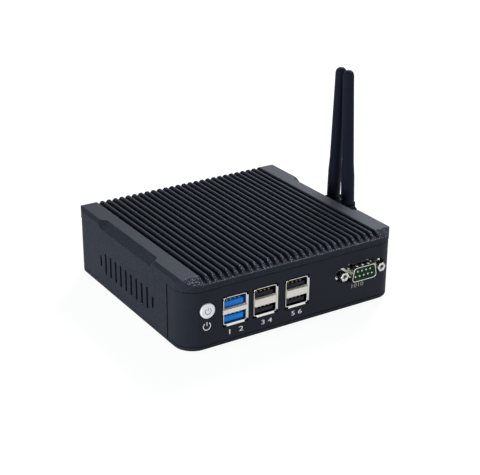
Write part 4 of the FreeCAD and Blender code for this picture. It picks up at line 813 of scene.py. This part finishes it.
@dataclass
class Thread:
    """A thread's turns inside a bore: a small three-sided ridge wound about the bore's axis."""

    name: str
    mouth_mm: Vector
    side: Side
    radius_mm: float
    body: str
    pitch_mm: float = 0.65
    turns: int = 6
    depth_mm: float = 0.2
    steps: int = 28

    def build(self) -> bpy.types.Object:
        """Wind the ridge with a screw modifier, and turn it into the bore.

        Returns:
            The thread.
        """
        deselect_all()
        bpy.ops.mesh.primitive_circle_add(
            vertices=3,
            radius=self.depth_mm * MM,
            location=(self.radius_mm * MM, 0.0, 0.0),
            rotation=(math.radians(90), 0.0, math.radians(180)),
        )
        ridge = bpy.context.object
        apply_place(ridge)
        winding = ridge.modifiers.new("winding", "SCREW")
        winding.axis = "Z"
        winding.screw_offset = self.pitch_mm * MM
        winding.iterations = self.turns
        winding.steps = self.steps
        winding.render_steps = self.steps
        bpy.ops.object.modifier_apply(modifier="winding")
        ridge.rotation_euler = (math.radians(-90 * self.side.value), 0.0, 0.0)
        inwards = -self.side.value * (self.turns + 0.5) * self.pitch_mm
        ridge.location = (self.mouth_mm + Vector((0.0, inwards, 0.0))) * MM
        return finish_piece(ridge, self.name, NICKEL, self.body)


@dataclass
class ShellDimples:
    """The round dimples pressed in a D-shaped nose, which grip the cable's plug."""

    name: str
    shell: str
    side: Side
    spacing_mm: float = 3.8
    reach_mm: float = 2.3
    radius_mm: float = 0.85
    height_mm: float = 0.28

    def build(self) -> bpy.types.Object:
        """Raise three domes on the nose's upper side and two on its lower one.

        Returns:
            The dimples, as one piece.
        """
        low, high = (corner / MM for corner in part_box(self.shell))
        middle = (low + high) / 2
        rim = low.y if self.side is Side.FRONT else high.y
        y = rim - self.side.value * self.reach_mm
        nose_half = self.nose_half_height()
        domes = []
        for step in (-1.0, 0.0, 1.0):
            x = middle.x + step * self.spacing_mm
            domes.append(self.dome(Vector((x, y, middle.z + nose_half)), 1))
        for step in (-0.5, 0.5):
            x = middle.x + step * self.spacing_mm
            domes.append(self.dome(Vector((x, y, middle.z - nose_half)), -1))
        deselect_all()
        for dome in domes:
            dome.select_set(True)
        bpy.context.view_layer.objects.active = domes[0]
        bpy.ops.object.join()
        piece = bpy.context.object
        bpy.ops.object.shade_smooth()
        return finish_piece(piece, self.name, TIN_PLATE, "case")

    def nose_half_height(self) -> float:
        """Half the nose's height, read at its rim, in millimetres."""
        mesh = frame["nodes"][self.shell].data
        ends = [vertex.co for vertex in mesh.vertices]
        depths = [spot.y for spot in ends]
        edge = min(depths) if self.side is Side.FRONT else max(depths)
        rim = [spot.z for spot in ends if abs(spot.y - edge) < 0.1 * MM]
        return (max(rim) - min(rim)) / 2 / MM

    def dome(self, centre_mm: Vector, up: int) -> bpy.types.Object:
        """One shallow dome, cut from a squashed ball.

        Args:
            centre_mm: The middle of its foot.
            up: 1 for a dome on top, -1 for one below.

        Returns:
            The dome.
        """
        deselect_all()
        bpy.ops.mesh.primitive_uv_sphere_add(segments=20, ring_count=12, radius=1.0)
        dome = bpy.context.object
        dome.scale = (self.radius_mm * MM, self.radius_mm * MM, self.height_mm * MM)
        dome.location = centre_mm * MM
        apply_place(dome)
        bpy.ops.object.mode_set(mode="EDIT")
        bpy.ops.mesh.select_all(action="SELECT")
        bpy.ops.mesh.bisect(
            plane_co=(centre_mm - Vector((0.0, 0.0, up * 0.1))) * MM,
            plane_no=(0.0, 0.0, float(up)),
            use_fill=True,
            clear_inner=True,
        )
        bpy.ops.object.mode_set(mode="OBJECT")
        return dome


@dataclass
class StatusLamp:
    """A network socket's small status light: the flat end of a light pipe in its face."""

    name: str
    x_mm: float
    z_mm: float
    face_y_mm: float
    finish: Finish
    width_mm: float = 2.6
    height_mm: float = 1.7
    proud_mm: float = 0.1
    depth_mm: float = 0.6
    edge_mm: float = 0.15

    def build(self) -> bpy.types.Object:
        """Model the pipe's end with rounded edges.

        Returns:
            The light.
        """
        deselect_all()
        bpy.ops.mesh.primitive_cube_add(size=1.0)
        pipe = bpy.context.object
        pipe.scale = (self.width_mm * MM, self.depth_mm * MM, self.height_mm * MM)
        pipe.location = (
            self.x_mm * MM,
            (self.face_y_mm + self.proud_mm - self.depth_mm / 2) * MM,
            self.z_mm * MM,
        )
        apply_place(pipe)
        bpy.ops.object.mode_set(mode="EDIT")
        bpy.ops.mesh.select_all(action="SELECT")
        bpy.ops.mesh.bevel(offset=self.edge_mm * MM, segments=2, affect="EDGES")
        bpy.ops.object.mode_set(mode="OBJECT")
        return finish_piece(pipe, self.name, self.finish, "case")


@dataclass
class BoreRing:
    """The coloured ring let into an audio socket's nose, round its bore."""

    name: str
    x_mm: float
    z_mm: float
    face_y_mm: float
    finish: Finish
    outer_mm: float = 2.65
    inner_mm: float = 1.85
    proud_mm: float = 0.06
    depth_mm: float = 0.3

    def build(self) -> bpy.types.Object:
        """Inset a disc, open its middle and give it thickness.

        Returns:
            The ring.
        """
        deselect_all()
        bpy.ops.mesh.primitive_circle_add(
            vertices=40,
            radius=self.outer_mm * MM,
            fill_type="NGON",
            rotation=(math.radians(-90), 0.0, 0.0),
        )
        ring = bpy.context.object
        apply_place(ring)
        bpy.ops.object.mode_set(mode="EDIT")
        bpy.ops.mesh.select_all(action="SELECT")
        bpy.ops.mesh.inset(thickness=(self.outer_mm - self.inner_mm) * MM)
        bpy.ops.mesh.delete(type="FACE")
        bpy.ops.mesh.select_all(action="SELECT")
        bpy.ops.mesh.extrude_region_move(
            TRANSFORM_OT_translate={"value": (0.0, self.depth_mm * MM, 0.0)}
        )
        bpy.ops.mesh.select_all(action="SELECT")
        bpy.ops.mesh.normals_make_consistent(inside=False)
        bpy.ops.object.mode_set(mode="OBJECT")
        ring.location = (
            self.x_mm * MM,
            (self.face_y_mm + self.proud_mm - self.depth_mm) * MM,
            self.z_mm * MM,
        )
        return finish_piece(ring, self.name, self.finish, "case")


# ---- aerials --------------------------------------------------------------------------


@dataclass
class KnurledNut:
    """An aerial's coupling nut, with straight knurling between two plain rims."""

    node: str
    teeth: int = 36
    tooth_mm: float = 0.25
    bore_mm: float = 2.6
    lip_mm: float = 0.35
    wall_mm: float = 0.6
    recess_mm: float = 0.5
    tooth_inset_mm: float = 0.05

    def build(self) -> bpy.types.Object:
        """Model the fluted sleeve over the solid nut.

        Returns:
            The nut, in place of its plain solid.
        """
        low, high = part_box(self.node)
        middle = (low + high) / 2
        radius = (high.y - low.y) / 2
        length = high.x - low.x
        deselect_all()
        bpy.ops.mesh.primitive_cylinder_add(
            vertices=self.teeth * 2,
            radius=radius - self.tooth_mm * MM,
            depth=length,
            location=middle,
            rotation=(0.0, math.radians(90), 0.0),
        )
        nut = bpy.context.object
        apply_place(nut)
        nut.select_set(True)
        bpy.context.view_layer.objects.active = nut
        bore = self.bore_mm * MM / (radius - self.tooth_mm * MM)
        for end in (-1, 1):
            select_faces(nut, lambda face: face.normal.x * end > 0.9)
            bpy.ops.mesh.inset(thickness=self.lip_mm * MM)
            bpy.ops.mesh.inset(thickness=radius * (1 - bore) - self.wall_mm * MM)
            bpy.ops.mesh.extrude_region_move(
                TRANSFORM_OT_translate={"value": (-end * self.recess_mm * MM, 0.0, 0.0)}
            )
        turn = math.pi / self.teeth
        select_faces(nut, lambda face: self.is_tooth(face, middle, radius, turn))
        bpy.ops.mesh.inset(thickness=self.tooth_inset_mm * MM, use_individual=True)
        bpy.ops.mesh.extrude_region_shrink_fatten(
            TRANSFORM_OT_shrink_fatten={"value": self.tooth_mm * 0.9 * MM}
        )
        bpy.ops.object.mode_set(mode="OBJECT")
        finish_piece(nut, self.node.replace("coupling_nut", "knurled_nut"), AERIAL_TPE, "case")
        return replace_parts(nut, self.node) or nut

    def is_tooth(
        self, face: bpy.types.MeshPolygon, middle: Vector, radius: float, turn: float
    ) -> bool:
        """Every other long side face is a tooth of the knurl.

        Args:
            face: The face in question.
            middle: The nut's middle.
            radius: Its outer radius.
            turn: The angle from one side face to the next.

        Returns:
            True for a tooth.
        """
        offset = face.center - middle
        if abs(face.normal.x) > 0.1 or math.hypot(offset.y, offset.z) < radius * 0.9:
            return False
        angle = math.atan2(offset.z, offset.y)
        return round(angle / turn - 0.5) % 2 == 0


@dataclass
class CornerWeb:
    """The cover's wall at a rounded corner, where its square hollow leaves the solid open."""

    name: str
    across: int
    along: int
    inner_mm: float = 9.4
    outer_mm: float = 11.1
    inset_mm: float = 0.1
    foot_mm: float = 33.2
    top_mm: float = 34.3

    def build(self) -> bpy.types.Object:
        """Spin the wall's section a quarter turn about the corner's own centre.

        Returns:
            The web.
        """
        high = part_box("heatsink_cover")[1] / MM
        round_mm = self.outer_mm + self.inset_mm
        side, end = high.x - round_mm, high.y - round_mm
        centre = Vector((side * self.across, end * self.along, 0.0)) * MM
        wall = self.outer_mm - self.inner_mm
        start = centre + Vector(((self.inner_mm + wall / 2) * self.across, 0.0, 0.0)) * MM
        start.z = (self.foot_mm + self.top_mm) / 2 * MM
        deselect_all()
        bpy.ops.mesh.primitive_plane_add(
            size=1.0, location=start, rotation=(math.radians(90), 0.0, 0.0)
        )
        web = bpy.context.object
        web.scale = (wall * MM, (self.top_mm - self.foot_mm) * MM, 1.0)
        apply_place(web)
        web.select_set(True)
        bpy.context.view_layer.objects.active = web
        bpy.ops.object.mode_set(mode="EDIT")
        bpy.ops.mesh.select_all(action="SELECT")
        bpy.ops.mesh.spin(
            steps=24,
            angle=-math.radians(90) * self.across * self.along,
            center=centre,
            axis=(0.0, 0.0, 1.0),
        )
        bpy.ops.mesh.select_all(action="SELECT")
        bpy.ops.mesh.normals_make_consistent(inside=False)
        bpy.ops.object.mode_set(mode="OBJECT")
        return finish_piece(web, self.name, COVER_COAT, "case")


# ---- stage ----------------------------------------------------------------------------


@dataclass
class Studio:
    """Plain white floor, soft lamps and the camera."""

    floor_z_mm: float = -2.05
    floor_glow: float = 1.16
    floor_share: float = 0.8
    floor_bounce: float = 0.5
    sky: float = 0.06
    lamp_tint: tuple[float, float, float] = (0.86, 0.92, 1.0)
    aim_height: float = 0.03
    lens_mm: float = 87.44
    spot_mm: tuple[float, float, float] = (-319.05, -510.41, 289.57)
    turn_degrees: float = 32.44
    dip_degrees: float = 23.63
    roll_degrees: float = 0.425

    def build(self) -> None:
        """Make the floor, the lamps, the world and the camera."""
        self.floor()
        self.lamps()
        self.world()
        self.camera()

    def floor(self) -> None:
        """A wide floor that is white to the eye and keeps a soft shadow."""
        deselect_all()
        bpy.ops.mesh.primitive_plane_add(size=8.0, location=(0.0, 0.0, self.floor_z_mm * MM))
        floor = bpy.context.object
        floor.name = "floor"
        material = bpy.data.materials.new("white_floor")
        material.use_nodes = True
        tree = material.node_tree
        tree.nodes.clear()
        card = add_node(tree, "ShaderNodeBsdfDiffuse", {"Color": linear("#f4f4f4")})
        glow = add_node(tree, "ShaderNodeEmission", {"Strength": self.floor_glow})
        path = add_node(tree, "ShaderNodeLightPath")
        share = add_node(
            tree,
            "ShaderNodeMapRange",
            {"To Min": self.floor_bounce, "To Max": self.floor_share},
            {"Value": path.outputs["Is Camera Ray"]},
        )
        both = add_node(
            tree,
            "ShaderNodeMixShader",
            links={0: share.outputs["Result"], 1: card.outputs[0], 2: glow.outputs[0]},
        )
        add_node(tree, "ShaderNodeOutputMaterial", links={"Surface": both.outputs[0]})
        floor.data.materials.append(material)

    def lamps(self) -> None:
        """Soft boxes high on the right behind, low on the left, and in front."""
        self.soft_box("key_box", (0.7, 0.6, 0.7), 0.5, 15.5)
        self.soft_box("left_box", (-0.85, -0.1, 0.12), 0.5, 7.0)
        self.soft_box("front_box", (-0.1, -1.1, 0.25), 0.6, 3.0)

    def soft_box(
        self, name: str, spot: tuple[float, float, float], size: float, power: float
    ) -> None:
        """One square lamp aimed at the object.

        Args:
            name: The lamp's name.
            spot: Its place in metres.
            size: Its side in metres.
            power: Its power in watts.
        """
        lamp = bpy.data.lights.new(name, "AREA")
        lamp.size = size
        lamp.energy = power
        lamp.color = self.lamp_tint
        holder = bpy.data.objects.new(name, lamp)
        bpy.context.collection.objects.link(holder)
        holder.location = spot
        aim = Vector((0.0, 0.0, self.aim_height)) - holder.location
        holder.rotation_euler = aim.to_track_quat("-Z", "Y").to_euler()

    def world(self) -> None:
        """Pale light from all round, white behind the object."""
        world = bpy.data.worlds.new("studio")
        bpy.context.scene.world = world
        world.use_nodes = True
        tree = world.node_tree
        tree.nodes.clear()
        path = add_node(tree, "ShaderNodeLightPath")
        seen = add_node(
            tree,
            "ShaderNodeMath",
            {"operation": "MAXIMUM"},
            {0: path.outputs["Is Camera Ray"], 1: path.outputs["Is Glossy Ray"]},
        )
        either = add_node(
            tree,
            "ShaderNodeMath",
            {"operation": "MAXIMUM"},
            {0: seen.outputs["Value"], 1: path.outputs["Is Transmission Ray"]},
        )
        fill = add_node(
            tree, "ShaderNodeBackground", {"Color": (1.0, 1.0, 1.0, 1.0), "Strength": self.sky}
        )
        back = add_node(
            tree, "ShaderNodeBackground", {"Color": (1.0, 1.0, 1.0, 1.0), "Strength": 1.0}
        )
        both = add_node(
            tree,
            "ShaderNodeMixShader",
            links={0: either.outputs["Value"], 1: fill.outputs[0], 2: back.outputs[0]},
        )
        add_node(tree, "ShaderNodeOutputWorld", links={"Surface": both.outputs[0]})

    def camera(self) -> None:
        """The camera, from its place, turn, dip and roll."""
        turn = math.radians(self.turn_degrees)
        dip = math.radians(self.dip_degrees)
        roll = math.radians(self.roll_degrees)
        ahead = Vector(
            (math.sin(turn) * math.cos(dip), math.cos(turn) * math.cos(dip), -math.sin(dip))
        )
        level = Vector((math.cos(turn), -math.sin(turn), 0.0))
        up = level.cross(ahead)
        right = level * math.cos(roll) + up * math.sin(roll)
        above = up * math.cos(roll) - level * math.sin(roll)
        data = bpy.data.cameras.new("camera")
        data.lens = self.lens_mm
        data.sensor_width = 36.0
        data.clip_start = 0.01
        holder = bpy.data.objects.new("camera", data)
        bpy.context.collection.objects.link(holder)
        axes = Matrix((right, above, -ahead)).transposed().to_4x4()
        holder.matrix_world = Matrix.Translation(Vector(self.spot_mm) * MM) @ axes
        bpy.context.scene.camera = holder


# ---- everything in order --------------------------------------------------------------


def port_prints() -> Iterable[Print]:
    """The plain numerals below the stacked ports and by the serial socket."""
    yield Print("1  2", "port_print_1", Side.FRONT, -36.5, 6.4, 8.6, 2.7, WHITE_INK)
    yield Print("3 4", "port_print_2", Side.FRONT, -17.8, 6.4, 6.6, 2.5, WHITE_INK)
    yield Print("5 6", "port_print_3", Side.FRONT, 1.1, 6.4, 6.6, 2.5, WHITE_INK)
    yield Print("1010", "serial_print", Side.FRONT, 41.2, 12.35, 8.0, 2.3, GREY_INK)


def socket_details() -> Iterable[Thread | ShellDimples | StatusLamp | BoreRing]:
    """Threads, dimples, status lights and rings that the plain solids leave out."""
    for name, side in (("serial", Side.FRONT), ("display", Side.REAR)):
        low, high = (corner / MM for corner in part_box(name + "_screwlocks"))
        mouth = low.y if side is Side.FRONT else high.y
        middle = (low + high) / 2
        for end, step in (("left", -0.5), ("right", 0.5)):
            spot = Vector((middle.x + step * LOCK_SPACING_MM, mouth, middle.z))
            yield Thread("%s_thread_%s" % (name, end), spot, side, THREAD_RADIUS_MM, "case")
        yield ShellDimples(name + "_shell_dimples", name + "_shell", side)
    for jack in ("network_jack_1", "network_jack_2"):
        low, high = (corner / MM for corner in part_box(jack))
        z = low.z + LIGHT_RISE_MM
        for end, way, lamp in (("green", -1, GREEN_LAMP), ("amber", 1, AMBER_LAMP)):
            x = (low.x + high.x) / 2 + way * LIGHT_STEP_MM
            yield StatusLamp("%s_%s_light" % (jack, end), x, z, high.y, lamp)
    low, high = (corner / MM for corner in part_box("audio_jacks"))
    audio_z = high.z - AUDIO_DROP_MM
    half = AUDIO_BODY_MM / 2
    yield BoreRing("audio_ring_lime", low.x + half, audio_z, high.y, LIME_PBT)
    yield BoreRing("audio_ring_pink", high.x - half, audio_z, high.y, PINK_PBT)


def main() -> None:
    """Build the object's dress in order, then the stage."""
    logging.basicConfig(level=logging.INFO, format="%(message)s")
    bpy.context.scene.view_settings.view_transform = "Standard"
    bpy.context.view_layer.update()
    Solids().dress()
    for words in port_prints():
        words.build()
    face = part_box("front_panel")[0].y / MM
    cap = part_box("power_button_cap")[0].y / MM
    StandbySign("standby_print", -54.0, 13.2, face - 0.01, 2.1, 0.5, WHITE_INK, "case").build()
    StandbySign("button_sign", -53.7, 22.0, cap - 0.01, 1.7, 0.4, BUTTON_INK, "button").build()
    for detail in socket_details():
        detail.build()
    for which in ("front", "rear"):
        KnurledNut("antenna_%s_coupling_nut" % which).build()
    for across, side in ((-1, "left"), (1, "right")):
        for along, end in ((-1, "front"), (1, "rear")):
            CornerWeb("corner_web_%s_%s" % (side, end), across, along).build()
    Studio().build()


if __name__ == "__main__":
    main()
